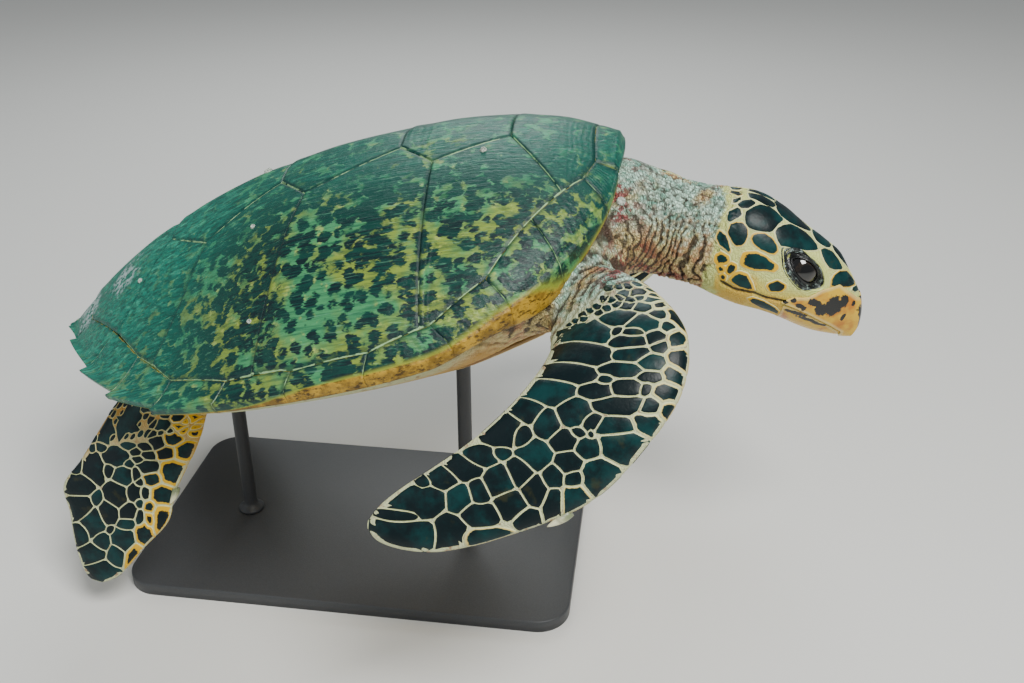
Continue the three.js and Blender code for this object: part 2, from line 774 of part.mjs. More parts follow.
function rodSolid(x) {
  const bellyZ = bodyHeight + x * Math.tan(bodyPitch)
    + (bellyHeight(x, 0) - skinClearance - plateThickness) / Math.cos(bodyPitch);
  const foot = baseThickness + pieceGap;
  const profile = [
    [0, foot], [footRadius, foot], [footRadius, foot + 6], [rodRadius, foot + 10],
    [rodRadius, bellyZ - 34], [padRadius, bellyZ - 12], [padRadius, bellyZ + 30], [0, bellyZ + 30],
  ].map(([r, z]) => new THREE.Vector2(r, z));
  const rod = new THREE.LatheGeometry(profile, 16);
  rod.rotateX(Math.PI / 2);
  rod.translate(x, 0, 0);
  return toManifold(rod).subtract(bellyCutter);
}

addMesh('stand_rod_front', toGeometry(rodSolid(rodFrontX)), standFinish(), model);
addMesh('stand_rod_rear', toGeometry(rodSolid(rodRearX)), standFinish(), model);

// Origin at the middle of the footprint, on the surface that the base stands on
const bounds = new THREE.Box3().setFromObject(model);
const middle = bounds.getCenter(new THREE.Vector3());
for (const part of model.children) {
  part.position.x -= middle.x;
  part.position.y -= middle.y;
}

export default model;
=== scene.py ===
# Hawksbill sea turtle, life size, held by a plain display stand
import random
from math import acos, copysign, cos, exp, floor, hypot, pi, radians, sin, sqrt

import bmesh
import bpy
from mathutils import Matrix, Vector, noise
from mathutils.bvhtree import BVHTree


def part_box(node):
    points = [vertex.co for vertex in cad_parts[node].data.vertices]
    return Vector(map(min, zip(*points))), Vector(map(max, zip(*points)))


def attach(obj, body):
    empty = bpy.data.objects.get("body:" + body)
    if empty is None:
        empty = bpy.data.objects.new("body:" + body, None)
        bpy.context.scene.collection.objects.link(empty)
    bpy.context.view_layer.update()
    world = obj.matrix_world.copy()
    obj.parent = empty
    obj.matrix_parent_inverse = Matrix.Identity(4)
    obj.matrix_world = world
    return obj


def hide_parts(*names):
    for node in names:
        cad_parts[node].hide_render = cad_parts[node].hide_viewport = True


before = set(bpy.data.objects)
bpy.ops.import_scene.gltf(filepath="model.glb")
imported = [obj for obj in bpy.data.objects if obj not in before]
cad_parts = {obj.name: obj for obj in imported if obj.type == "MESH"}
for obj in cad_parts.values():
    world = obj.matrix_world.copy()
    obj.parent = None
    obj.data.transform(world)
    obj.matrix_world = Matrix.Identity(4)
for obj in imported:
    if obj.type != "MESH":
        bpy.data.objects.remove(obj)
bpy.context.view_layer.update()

# The body frame is in millimetres: x to the head, y to the left, z up from the plane of the rim
carriage = {"pitch": 15, "height": 0.375, "frontRod": 0.130, "rearRod": -0.170}
rodLow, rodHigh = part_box("stand_rod_front")
inMetres = Matrix.Scale(0.001, 4)
shellPlace = Vector(((rodLow.x + rodHigh.x) / 2 - carriage["frontRod"], (rodLow.y + rodHigh.y) / 2, 0))
shellPlace.z = carriage["height"]
bodyToRow = Matrix.Translation(shellPlace) @ Matrix.Rotation(radians(-carriage["pitch"]), 4, "Y") @ inMetres


def clamp(value, low=0.0, high=1.0):
    return max(low, min(high, value))


def smooth(low, high, value):
    t = clamp((value - low) / (high - low))
    return t * t * (3 - 2 * t)


def mix(a, b, share):
    return a + (b - a) * share


def hump(x, middle, width):
    # A bell of height 1
    return exp(-(((x - middle) / width) ** 2))


def signedPower(value, power):
    return copysign(abs(value) ** power, value)


# Meshes

def newMesh(marks=(), mapped=False):
    bm = bmesh.new()
    if mapped:
        bm.loops.layers.uv.new("OFBake")
    for mark in marks:
        bm.verts.layers.float.new(mark)
    return bm


def move(bm, matrix):
    bmesh.ops.transform(bm, matrix=matrix, verts=bm.verts[:])


def merge(bm, distance=0.02):
    bmesh.ops.remove_doubles(bm, verts=bm.verts[:], dist=distance)


def faceOut(bm):
    bmesh.ops.recalc_face_normals(bm, faces=bm.faces[:])


def capHoles(bm):
    bmesh.ops.holes_fill(bm, edges=[edge for edge in bm.edges if edge.is_boundary])


def relax(bm, verts, passes):
    for _ in range(passes):
        bmesh.ops.smooth_vert(bm, verts=verts, factor=0.5, use_axis_x=True, use_axis_y=True, use_axis_z=True)


def append(sheet, part):
    carrier = bpy.data.meshes.new("part")
    part.to_mesh(carrier)
    sheet.from_mesh(carrier)
    bpy.data.meshes.remove(carrier)


def surfaceGrid(columns, rows, place, marks=()):
    # place(s, t) gives a point and its marks
    bm = newMesh(marks, True)
    bmesh.ops.create_grid(bm, x_segments=columns, y_segments=rows, size=0.5, calc_uvs=True)
    layers = [bm.verts.layers.float[mark] for mark in marks]
    for vert in bm.verts:
        point, *values = place(vert.co.x + 0.5, vert.co.y + 0.5)
        vert.co = point
        for layer, value in zip(layers, values):
            vert[layer] = value
    return bm


def moveUvs(faces, layer, corner, size):
    for face in faces:
        for loop in face.loops:
            place = loop[layer].uv
            loop[layer].uv = (corner[0] + place.x * size[0], corner[1] + place.y * size[1])


def closeTube(bm):
    merge(bm)
    bmesh.ops.dissolve_degenerate(bm, edges=bm.edges[:], dist=0.02)
    capHoles(bm)
    faceOut(bm)


def thicken(bm, sink):
    # The sheet moves by sink, and a copy left in its place makes a closed plate with it
    uv = bm.loops.layers.uv["OFBake"]
    hidden = bm.faces[:]
    for vert in bm.verts:
        vert.co += sink
    for item in bmesh.ops.extrude_face_region(bm, geom=hidden, use_keep_orig=True)["geom"]:
        if isinstance(item, bmesh.types.BMVert):
            item.co -= sink
    shown = set(bm.faces) - set(hidden)
    moveUvs(shown, uv, (0, 0), (0.97, 1))
    moveUvs(hidden, uv, (0.975, 0), (0.02, 0.02))
    faceOut(bm)


def meshObject(name, bm):
    mesh = bpy.data.meshes.new(name)
    bm.to_mesh(mesh)
    made = bpy.data.objects.new(name, mesh)
    bpy.context.scene.collection.objects.link(made)
    return made


def finishPiece(name, bm, material, replaced=(), toRow=bodyToRow):
    move(bm, toRow)
    for face in bm.faces:
        face.smooth = True
    piece = meshObject(name, bm)
    bm.free()
    piece.data.materials.append(material)
    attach(piece, "root")
    if replaced:
        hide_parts(*replaced)


# Heights of the shell
shell = {
    "halfWidth": 270, "front": 354, "rear": -385, "widest": -40, "ridge": 157, "peak": 100,
    "frontRise": 62, "neckArch": 44, "rearRise": 10, "ridgeFalls": (55, 143),
    "lip": 10, "bridge": 22, "keel": -95,
}


def halfWidth(x):
    widest, full = shell["widest"], shell["halfWidth"]
    if x > widest:
        t = min((x - widest) / (shell["front"] - widest), 1)
        return full * (1 - t ** 3.2) ** 0.6
    t = min((widest - x) / (widest - shell["rear"]), 1)
    return full * (1 - t ** 2.27)


def rimHeight(x):
    frontRise = shell["frontRise"] * (max(x - 150, 0) / 180) ** 1.3
    neckArch = shell["neckArch"] * hump(halfWidth(x), 0, 60) if x > 0 else 0
    return frontRise + neckArch + shell["rearRise"] * (max(-100 - x, 0) / 275) ** 1.5


def ridgeHeight(x):
    frontFall, rearFall = shell["ridgeFalls"]
    if x > shell["peak"]:
        return shell["ridge"] - frontFall * ((x - shell["peak"]) / 250) ** 2.6
    return shell["ridge"] - rearFall * ((shell["peak"] - x) / 478) ** 2.2


def domeHeight(x, y):
    r = min(abs(y) / max(halfWidth(x), 1), 1)
    rim = rimHeight(x)
    flare = 0.77 + 0.83 * clamp(-x / 150)
    return rim + max(ridgeHeight(x) - rim, 6) * (1 - r ** 1.6) ** flare


def lipHeight(x):
    return shell["lip"] + shell["bridge"] * hump(x, 272, 48) + 4 * hump(x, 0, 200)


def bellyHeight(x, r):
    t = min(abs(x - 10) / 372, 1)
    keel = shell["keel"] * (1 - t ** 3.2) ** 0.7
    edge = rimHeight(x) - lipHeight(x)
    return edge + (keel - edge) * (1 - min(r, 1) ** 2) ** 0.9


# Seams of the shell, left half: [x, y]
seams = {
    "vertebral": [
        [(311, 87), (290, 110), (239, 38)],
        [(239, 38), (157, 72), (117, 36)],
        [(117, 36), (11, 78), (-28, 38)],
        [(-28, 38), (-123, 76), (-189, 32)],
        [(-189, 32), (-250, 116)],
    ],
    "nuchal": [(323, 60), (311, 87)],
    "marginal": [
        (323, 60), (311, 87), (260, 146), (213, 202), (156, 235), (92, 254), (11, 260),
        (-67, 248), (-144, 219), (-204, 167), (-262, 105), (-325, 45), (-338, 0),
    ],
    "rimX": [344, 329, 282, 233, 174, 84, 0, -80, -154, -228, -297, -358, -384],
    "costal": [(290, 110), (145, 238), (-35, 252), (-178, 188), (-250, 116)],
}


def mirrorPath(points):
    return [(x, -y) for x, y in points]


def alongPath(points, t):
    spans = len(points) - 1
    i = min(int(t * spans), spans - 1)
    return Vector(points[i]).lerp(Vector(points[i + 1]), t * spans - i)


def vertebralPatch(k):
    left = seams["vertebral"][k]
    front, rear = left[0], left[-1]
    patch = {"front": mirrorPath([front]) + [front], "rear": mirrorPath([rear]) + [rear]}
    patch |= {"left": left, "right": mirrorPath(left)}
    if k == 0:
        inner, outer = seams["nuchal"]
        patch["front"] = mirrorPath([outer, inner]) + [inner, outer]
    if k == 4:
        inner = seams["marginal"][10:12]
        patch["rear"] = mirrorPath([rear] + inner) + seams["marginal"][12:] + inner[::-1] + [rear]
    return patch


def costalPatch(k):
    side, behind = seams["vertebral"][k], seams["vertebral"][k + 1]
    front = [side[2], side[1]] if k == 0 else [side[1], seams["costal"][k]]
    rear = [behind[0], seams["costal"][4]] if k == 3 else [behind[1], seams["costal"][k + 1]]
    inner = [side[2], behind[1]] if k == 0 else [side[1], side[2], behind[1]]
    if k == 3:
        inner = [side[1], side[2]]
    rim = [point for point in seams["marginal"] if rear[1][0] < point[0] < front[1][0]]
    return {"front": front, "rear": rear, "right": inner, "left": [front[1]] + rim + [rear[1]]}


def patchPoint(patch, s, t):
    front, rear = alongPath(patch["front"], s), alongPath(patch["rear"], s)
    right, left = alongPath(patch["right"], t), alongPath(patch["left"], t)
    a, b = Vector(patch["front"][0]), Vector(patch["front"][-1])
    c, d = Vector(patch["rear"][0]), Vector(patch["rear"][-1])
    corners = a * (1 - s) * (1 - t) + b * s * (1 - t) + c * (1 - s) * t + d * s * t
    return front * (1 - t) + rear * t + right * (1 - s) + left * s - corners


def distanceTo(point, path):
    best = 1e9
    for a, b in zip(path, path[1:]):
        a, b = Vector(a), Vector(b)
        along = b - a
        share = clamp((point - a).dot(along) / max(along.length_squared, 1e-9))
        best = min(best, (point - a - along * share).length)
    return best


# Plates of the shell's top, each a closed plate with its own relief
shellMarks = ("edge", "growth", "under", "pale")  # distance to a seam, growth, share of underside, pale seam
scutes = {
    "columns": 40, "rows": 40, "thickness": 5.4, "gap": 0.35, "edgeDrop": 1.3, "edgeWidth": 3.0,
    "lap": 1.3, "lapWidth": 26, "bulge": 1.1, "bulgeWidth": 40, "keel": 2.0, "keelWidth": 11,
    "crowding": 0.12,
}
mirrorSide = Matrix.Diagonal((1, -1, 1, 1))


def crowd(s, amount):
    return s - amount * sin(2 * pi * s)


def scuteMesh(patch, mirror=False, keeled=False):
    centre = patchPoint(patch, 0.5, 0.5)
    side = -1 if mirror else 1

    def place(s, t):
        s, t = crowd(s, scutes["crowding"]), crowd(t, scutes["crowding"])
        point = patchPoint(patch, s, t)
        edge = min(distanceTo(point, path) for path in patch.values())
        rear = distanceTo(point, patch["rear"])
        point = centre + (point - centre) * (1 - scutes["gap"] / max((point - centre).length, 2))
        z = domeHeight(point.x, point.y)
        z -= scutes["edgeDrop"] * (1 - smooth(0, scutes["edgeWidth"], edge)) ** 2
        z += scutes["lap"] * smooth(scutes["lapWidth"], 0, rear)
        z += scutes["bulge"] * smooth(0, scutes["bulgeWidth"], edge)
        if keeled:
            z += scutes["keel"] * hump(point.y, 0, scutes["keelWidth"]) * smooth(0, 12, edge)
        low = min(distanceTo(point, patch["left"]), distanceTo(point, patch["right"]))
        return Vector((point.x, side * point.y, z)), edge, t, 0.0, smooth(6, 0, low - edge)

    bm = surfaceGrid(scutes["columns"], scutes["rows"], place, shellMarks)
    thicken(bm, Vector((0, 0, -scutes["thickness"])))
    return bm


# Marginal plates: a folded rim whose underside is pale
rim = {
    "along": 22, "around": 44, "gap": 0.004, "bulge": 1.2, "edgeDrop": 1.1, "tooth": 9, "firstTooth": 7,
    "turns": (0.5, 0.7, 0.97), "lipDepth": 0.18,  # where the lip starts and ends, and the underside ends
}


def rimMesh(profileAt, length):
    # a runs round the profile: over the top to the tip, round the lip, and back below
    lipStart, lipEnd, underEnd = rim["turns"]
    shoulder = 1 - rim["lipDepth"]

    def place(s, a):
        s = mix(rim["gap"], 1 - rim["gap"], crowd(s, 0.1))
        inner, tip, top, lip, low = profileAt(s)
        edge = min(s, 1 - s) * length
        if a < lipStart:
            f = crowd(a / lipStart, 0.06)
            point = inner.lerp(tip, f)
            edge = min(edge, f * (tip - inner).length)
            z = mix(domeHeight(point.x, point.y), top, smooth(0.85, 1, f))
            z += rim["bulge"] * smooth(0, 14, edge) * (1 - f)
            z -= rim["edgeDrop"] * (1 - smooth(0, 3, edge)) ** 2
        elif a < lipEnd:
            turn = (a - lipStart) / (lipEnd - lipStart) * pi / 2
            point = inner.lerp(tip, shoulder + rim["lipDepth"] * cos(turn))
            z = top - lip * sin(turn) - 0.8 * (1 - smooth(0, 2.5, edge)) * cos(turn)
        elif a < underEnd:
            back = (a - lipEnd) / (underEnd - lipEnd)
            point = inner.lerp(tip, shoulder * (1 - back))
            z = mix(top - lip, low, back)
        else:
            point, edge = inner, 0.0
            z = mix(low, domeHeight(inner.x, inner.y) - rim["edgeDrop"], smooth(underEnd, 1, a))
        rearward = smooth(90, -60, inner.x)
        begin = mix(mix(0.36, 0.60, rearward), 0.54, smooth(200, 275, inner.x))
        under = smooth(begin, begin + mix(0.17, 0.05, rearward), a)
        return Vector((point.x, point.y, z)), edge, s, under, smooth(0.02, 0.3, a)

    bm = surfaceGrid(rim["along"], rim["around"], place, shellMarks)
    closeTube(bm)
    return bm


def marginalMesh(k, side):
    start, end = [Vector(point) for point in seams["marginal"][k:k + 2]]
    outer = seams["rimX"][k:k + 2]
    tooth = rim["tooth"] if k >= rim["firstTooth"] else 0

    def profileAt(s):
        inner, x = start.lerp(end, s), mix(*outer, s)
        tip = Vector((x, halfWidth(x)))
        tip += (tip - inner).normalized() * tooth * s ** 1.6
        top, lip = rimHeight(x), lipHeight(x)
        low = min(top - lip + 4, domeHeight(inner.x, inner.y) - 9)
        return inner, Vector((tip.x, max(tip.y, 0.3))), top, lip, low

    bm = rimMesh(profileAt, (start - end).length)
    if side < 0:
        move(bm, mirrorSide)
        faceOut(bm)
    return bm


def nuchalMesh():
    x, reach = seams["nuchal"][0]
    front = seams["rimX"][0]

    def profileAt(s):
        across = 2 * s - 1
        y, bow = reach * across, 6 * (1 - across ** 2)
        seat, tip = Vector((x, y)), Vector((front + bow, 0.9 * y))
        return seat, tip, rimHeight(front) + bow, 9.0, domeHeight(x, y) - 10

    return rimMesh(profileAt, 2 * reach)


# Limb edges, right side, from the root to the tip; the left limbs are turned down by drop about the pivot.
# edging: how much wider the pale border gets towards the leading edge, and where that begins and ends
limbs = {
    "front": {
        "lead": [(318, -118, 2), (370, -200, 3), (399, -275, -12), (387, -315, -44), (348, -343, -78),
                 (295, -361, -112), (219, -372, -129), (136, -376, -135), (88, -370, -119), (79, -363, -104)],
        "trail": [(246, -118, -44), (259, -200, -27), (265, -250, -19), (257, -290, -17), (235, -315, -28),
                  (195, -331, -49), (150, -343, -67), (118, -350, -79), (94, -357, -91), (79, -363, -104)],
        "thickness": [76, 62, 46, 34, 26, 20, 15, 11, 8, 4],
        "pivot": (300, 150, -20), "drop": -30, "columns": 72, "rows": 130, "edging": (1.0, 0.62, 0.9),
    },
    "hind": {
        "lead": [(-150, -92, -40), (-170, -135, -75), (-188, -158, -105), (-227, -180, -151),
                 (-243, -192, -180), (-282, -200, -206), (-330, -208, -238), (-355, -210, -243)],
        "trail": [(-252, -92, -20), (-290, -140, -55), (-335, -165, -96), (-364, -178, -120),
                  (-365, -188, -150), (-370, -198, -186), (-370, -207, -222), (-364, -210, -238)],
        "thickness": [52, 38, 24, 17, 13, 10, 7, 4],
        "pivot": (-220, 100, -40), "drop": 12, "columns": 56, "rows": 80, "edging": (2.6, 0.4, 0.75),
    },
}


def curvePoint(points, t):
    # Centripetal curve through the points
    spans = len(points) - 1
    i = min(int(t * spans), spans - 1)
    w = t * spans - i
    p1, p2 = Vector(points[i]), Vector(points[i + 1])
    p0 = Vector(points[i - 1]) if i > 0 else p1 * 2 - p2
    p3 = Vector(points[i + 2]) if i + 2 <= spans else p2 * 2 - p1
    d0, d1, d2 = [max((b - a).length ** 0.5, 1e-4) for a, b in ((p0, p1), (p1, p2), (p2, p3))]
    m1 = ((p1 - p0) / d0 - (p2 - p0) / (d0 + d1) + (p2 - p1) / d1) * d1
    m2 = ((p2 - p1) / d1 - (p3 - p1) / (d1 + d2) + (p3 - p2) / d2) * d1
    c2 = (p2 - p1) * 3 - m1 * 2 - m2
    c3 = (p1 - p2) * 2 + m1 + m2
    return p1 + m1 * w + c2 * w * w + c3 * w * w * w


def alongList(values, t):
    place = t * (len(values) - 1)
    i = min(int(place), len(values) - 2)
    return mix(values[i], values[i + 1], place - i)


def limbSections(limb, count=160, reach=0.985):
    lead, trail = limb["lead"], limb["trail"]
    sections, travelled, last = [], 0, None
    for i in range(count + 1):
        t = i / count * reach
        a, b = curvePoint(lead, t), curvePoint(trail, t)
        middle, chord = (a + b) / 2, b - a
        ahead, behind = min(t + 0.02, 1), max(t - 0.02, 0)
        axis = (curvePoint(lead, ahead) + curvePoint(trail, ahead)
                - curvePoint(lead, behind) - curvePoint(trail, behind)).normalized()
        width = max(chord.length, 8)
        chord.normalize()
        travelled += (middle - last).length if last else 0
        last = middle
        sections.append({
            "middle": middle, "chord": chord, "up": chord.cross(axis).normalized(), "width": width,
            "thick": alongList(limb["thickness"], t), "travelled": travelled})
    return sections


limbRuns = {key: limbSections(limb) for key, limb in limbs.items()}


def sectionAt(sections, place):
    i = int(clamp(floor(place), 0, len(sections) - 2))
    a, b, w = sections[i], sections[i + 1], place - i
    return {key: mix(a[key], b[key], w) for key in a}


def sectionBy(sections, travelled):
    # The section at a length travelled from the root
    low, high = 0, len(sections) - 1
    while high - low > 1:
        middle = (low + high) // 2
        if sections[middle]["travelled"] < travelled:
            low = middle
        else:
            high = middle
    start, end = sections[low]["travelled"], sections[high]["travelled"]
    return sectionAt(sections, low + clamp((travelled - start) / max(end - start, 1e-6)))


def limbPoint(section, along, height):
    # along: 1 at the leading edge, -1 at the trailing edge; height: 1 on top, -1 below
    taper = 1 + 0.35 * along * min(1, 30 / section["thick"])
    return (section["middle"] - section["chord"] * (along * section["width"] / 2)
            + section["up"] * (height * taper * (section["thick"] / 2 - 0.5)))


def toLeft(bm, limb):
    move(bm, mirrorSide)
    turn = Matrix.Rotation(radians(limb["drop"]), 3, "X")
    bmesh.ops.rotate(bm, cent=limb["pivot"], matrix=turn, verts=bm.verts[:])
    faceOut(bm)


# Neck and head: one run of rings
headTurn = Matrix.Rotation(radians(-3), 4, "Z") @ Matrix.Rotation(radians(38), 4, "Y")
headFrame = Matrix.Translation((425, -28, -30)) @ headTurn
headInverse = headFrame.inverted()
headRings = [  # u towards the snout, half width, top, bottom
    (0, 52, 68, 50), (22, 55, 72, 49), (48, 56, 69, 47), (76, 51, 62, 42), (102, 43, 57, 41),
    (122, 35, 52, 42), (142, 27, 39, 41), (164, 18, 22, 36), (176, 12, 6, 32), (184, 6, -12, 28),
]
snout = headRings[-1][0]
neckRings = [  # centre, half width, top, bottom, tilt
    ((270, -2, 20), 96, 68, 70, 2), ((330, -7, 17), 78, 62, 74, 14),
    ((362, -14, 5), 63, 55, 62, 28), ((393, -22, -10), 57, 56, 56, 34),
]
neckHead = {
    "columns": 160, "rows": 250, "neckShare": 0.5, "depth": 0.5, "folds": 3.8, "foldDepth": 4.2,
    "warts": 0.17, "wartDepth": 2.0, "mouthDepth": 2.4, "mouthWidth": 3.4,
}


def neckHeadRings():
    rings = []
    for centre, w, top, bottom, tilt in neckRings:
        a = radians(tilt)
        rings.append([*centre, 0, 1, 0, sin(a), 0, cos(a), w, top, bottom, 1.0])
    turn = headFrame.to_3x3()
    across, up = turn @ Vector((0, 1, 0)), turn @ Vector((0, 0, 1))
    for u, w, top, bottom in headRings:
        middle = min(0, top - 8)
        centre = headFrame @ Vector((u, 0, middle))
        rings.append([*centre, *across, *up, w, top - middle, bottom + middle, 0.9])
    return rings


ringRun = neckHeadRings()


def ringValues(k):
    i = int(clamp(floor(k), 0, len(ringRun) - 2))
    w = k - i
    a, b = ringRun[max(i - 1, 0)], ringRun[i]
    c, d = ringRun[i + 1], ringRun[min(i + 2, len(ringRun) - 1)]
    values = []
    for p, q, r, e in zip(a, b, c, d):
        second, third = 2 * p - 5 * q + 4 * r - e, 3 * q - p - 3 * r + e
        values.append(0.5 * (2 * q + (r - p) * w + second * w * w + third * w ** 3))
    return values


def ringAtU(u):
    for i in range(len(headRings) - 1):
        start, end = headRings[i][0], headRings[i + 1][0]
        if u <= end:
            return len(neckRings) + i + (u - start) / (end - start)
    return len(ringRun) - 1


def runPoint(k, angle, lift=0.0):
    # angle from the top, in radians, positive to the right side
    v = ringValues(k)
    centre, across, up = Vector(v[0:3]), Vector(v[3:6]).normalized(), Vector(v[6:9]).normalized()
    c, s = sin(angle), cos(angle)
    p = signedPower(c, v[12]) * (max(v[9], 1) + lift)
    q = signedPower(s, v[12]) * (max(v[10] if s > 0 else v[11], 1) + lift)
    return centre - across * p + up * q


eye = {
    "radius": 22, "centre": (88, 21.5, 25), "gaze": (0.24, 1, 0.36), "opening": (20.0, 10.2), "turn": -17,
    "sink": 9, "sinkReach": 60,
}


def eyeFrame(side):
    # The centre, and axes: forward along the lids, up across them, gaze
    gaze = Vector(eye["gaze"]).normalized()
    forward = (Vector((1, 0, 0)) - gaze * gaze.x).normalized()
    up = -gaze.cross(forward)
    turn, flip = radians(eye["turn"]), Vector((1, side, 1))
    forward, up = forward * cos(turn) + up * sin(turn), up * cos(turn) - forward * sin(turn)
    return Vector(eye["centre"]) * flip, [axis * flip for axis in (forward, up, gaze)]


mouthLine = [  # u, angle from the top in degrees
    (18, 106), (33, 108), (53, 101), (69, 102), (84, 99), (105, 101), (130, 108), (153, 116), (176, 123),
]


# Body skin: trunk, chest, neck and head, limbs and tail joined into one closed surface
skin = {
    "trunk": (-364, 343), "trunkWidth": 0.975, "clearance": 9.8,
    "chest": (92, 176, 66), "chestPlace": (250, 0, -12),
    "tail": (-300, -396), "tailSizes": ((34, 26, 16, 6), (26, 20, 12, 5)),
    "blend": [(30, 10), (20, 10), (11, 10)], "blendSearch": 40,  # widths of the bands, and passes in each
}
atlas = {  # corner and size of each part on the skin's map
    "trunk": ((0.0, 0.0), (0.40, 0.36)), "chest": ((0.41, 0.0), (0.10, 0.10)),
    "tail": ((0.41, 0.11), (0.10, 0.12)),
    "neckHead": ((0.0, 0.37), (0.52, 0.63)), "frontRight": ((0.53, 0.52), (0.46, 0.48)),
    "frontLeft": ((0.53, 0.26), (0.46, 0.25)), "hindRight": ((0.53, 0.0), (0.23, 0.25)),
    "hindLeft": ((0.77, 0.0), (0.22, 0.25)),
}


def tube(name, columns, rows, place):
    bm = surfaceGrid(columns, rows, place, ("crease",))
    moveUvs(bm.faces, bm.loops.layers.uv["OFBake"], *atlas[name])
    closeTube(bm)
    return bm


def trunkPoint(s, t):
    x = mix(*skin["trunk"], t)
    ridge = domeHeight(x, 0) - skin["clearance"]
    if t in (0.0, 1.0):
        return Vector((x, 0, ridge - 4)), 0.0
    angle = 2 * pi * s - pi / 2
    r, reach = cos(angle), max(halfWidth(x) * skin["trunkWidth"], 6)
    z = top = domeHeight(x, reach * r) - skin["clearance"]
    if sin(angle) < 0:
        low = min(bellyHeight(x, abs(r)) + 0.4, ridge - 6)
        z = min(mix(low, top, smooth(0.93, 1, abs(r))), top - 5 * sqrt(max(1 - r * r, 0)))
    return Vector((x, reach * r, z)), 0.0


def chestMesh():
    bm = newMesh(("crease",), True)
    bmesh.ops.create_uvsphere(bm, u_segments=48, v_segments=32, radius=1, calc_uvs=True)
    bmesh.ops.scale(bm, vec=[reach - 0.5 for reach in skin["chest"]], verts=bm.verts[:])
    bmesh.ops.translate(bm, vec=skin["chestPlace"], verts=bm.verts[:])
    moveUvs(bm.faces, bm.loops.layers.uv["OFBake"], *atlas["chest"])
    return bm


def creaseDepth(point, phase, lined):
    # Depth of the skin's creases: long folds where lined is 1, warty skin where it is 0
    fold = (1 - abs(sin(pi * phase))) ** 2.2
    apart = noise.voronoi(point * neckHead["warts"])[0]
    wart = smooth(0.34, 0.0, apart[1] - apart[0])
    folds, warts = neckHead["foldDepth"] * mix(0.12, 1, lined), neckHead["wartDepth"] * mix(1, 0.6, lined)
    return fold * folds + wart * warts


def neckHeadPoint(s, t):
    share = neckHead["neckShare"]
    u = (t - share) / (1 - share) * snout
    k = len(neckRings) * t / share if t < share else ringAtU(u)
    if t in (0.0, 1.0):
        return runPoint(k, 0) * 0.5 + runPoint(k, pi) * 0.5, 0.0
    angle = 2 * pi * s - pi
    point = runPoint(k, angle, -neckHead["depth"])
    reach = smooth(0.4, 1.4, k) * smooth(4.35, 3.7, k)
    crease = 0.0
    if reach > 0:
        waves = ((0.02, 2.0), (0.06, 0.9), (0.16, 0.2))
        drift = sum(noise.noise(point * scale) * size for scale, size in waves)
        crease = creaseDepth(point, k * neckHead["folds"] + drift, smooth(0.75, 0.1, cos(angle))) * reach
    if t > share:
        away = distanceTo(Vector((u, abs(angle) * 180 / pi)), mouthLine)
        crease = max(crease, neckHead["mouthDepth"] * smooth(neckHead["mouthWidth"], 0.6, away))
    return runPoint(k, angle, -neckHead["depth"] - crease), crease


def limbTube(key, side):
    limb, sections = limbs[key], limbRuns[key]

    def place(s, t):
        section = sectionAt(sections, t * (len(sections) - 1))
        if t in (0.0, 1.0):
            return section["middle"], 0.0
        return limbPoint(section, cos(2 * pi * s), sin(2 * pi * s)), 0.0

    bm = tube(key + side, limb["columns"], limb["rows"], place)
    if side == "Left":
        toLeft(bm, limb)
    return bm


def tailPoint(s, t):
    x = mix(*skin["tail"], t)
    w, h = [alongList(sizes, t) for sizes in skin["tailSizes"]]
    z = -30 - (x + 300) / 12
    if t in (0.0, 1.0):
        return Vector((x, 0, z)), 0.0
    return Vector((x, w * cos(2 * pi * s), z + h * sin(2 * pi * s))), 0.0


def joinParts(parts):
    # Union of closed parts, one after another; the maps of the parts are kept
    whole = meshObject("whole", parts[0])
    for part in parts[1:]:
        other = meshObject("part", part)
        union = whole.modifiers.new("union", "BOOLEAN")
        union.operation, union.solver, union.object = "UNION", "MANIFOLD", other
        joined = bpy.data.meshes.new_from_object(whole.evaluated_get(bpy.context.evaluated_depsgraph_get()))
        whole.modifiers.clear()
        whole.data = joined
        bpy.data.objects.remove(other)
    bm = bmesh.new()
    bm.from_mesh(whole.data)
    bpy.data.objects.remove(whole)
    return bm


def blendJoints(bm, parts):
    # Points near the meeting line of two parts are smoothed, in ever narrower bands
    trees = [BVHTree.FromBMesh(part) for part in parts]
    near = []
    for vert in bm.verts:
        found = [tree.find_nearest(vert.co, skin["blendSearch"]) for tree in trees]
        distances = sorted(hit[3] for hit in found if hit[0])
        if len(distances) > 1 and distances[1] < skin["blend"][0][0]:
            near.append((distances[1], vert))
    for width, passes in skin["blend"]:
        relax(bm, [vert for distance, vert in near if distance < width], passes)


# Where the shoulders' wrinkles fade, and the longest edges left by each division
shoulders = {
    "rear": (165, 195), "front": (372, 335), "inner": (58, 80), "outer": (262, 225), "above": 30,
    "longest": (8, 5), "spacing": 14, "lined": 0.75,
}


def shoulderShare(p):
    height = rimHeight(p.x)
    return (smooth(*shoulders["rear"], p.x) * smooth(*shoulders["front"], p.x)
            * smooth(*shoulders["inner"], abs(p.y)) * smooth(*shoulders["outer"], abs(p.y))
            * smooth(height + shoulders["above"], height, p.z))


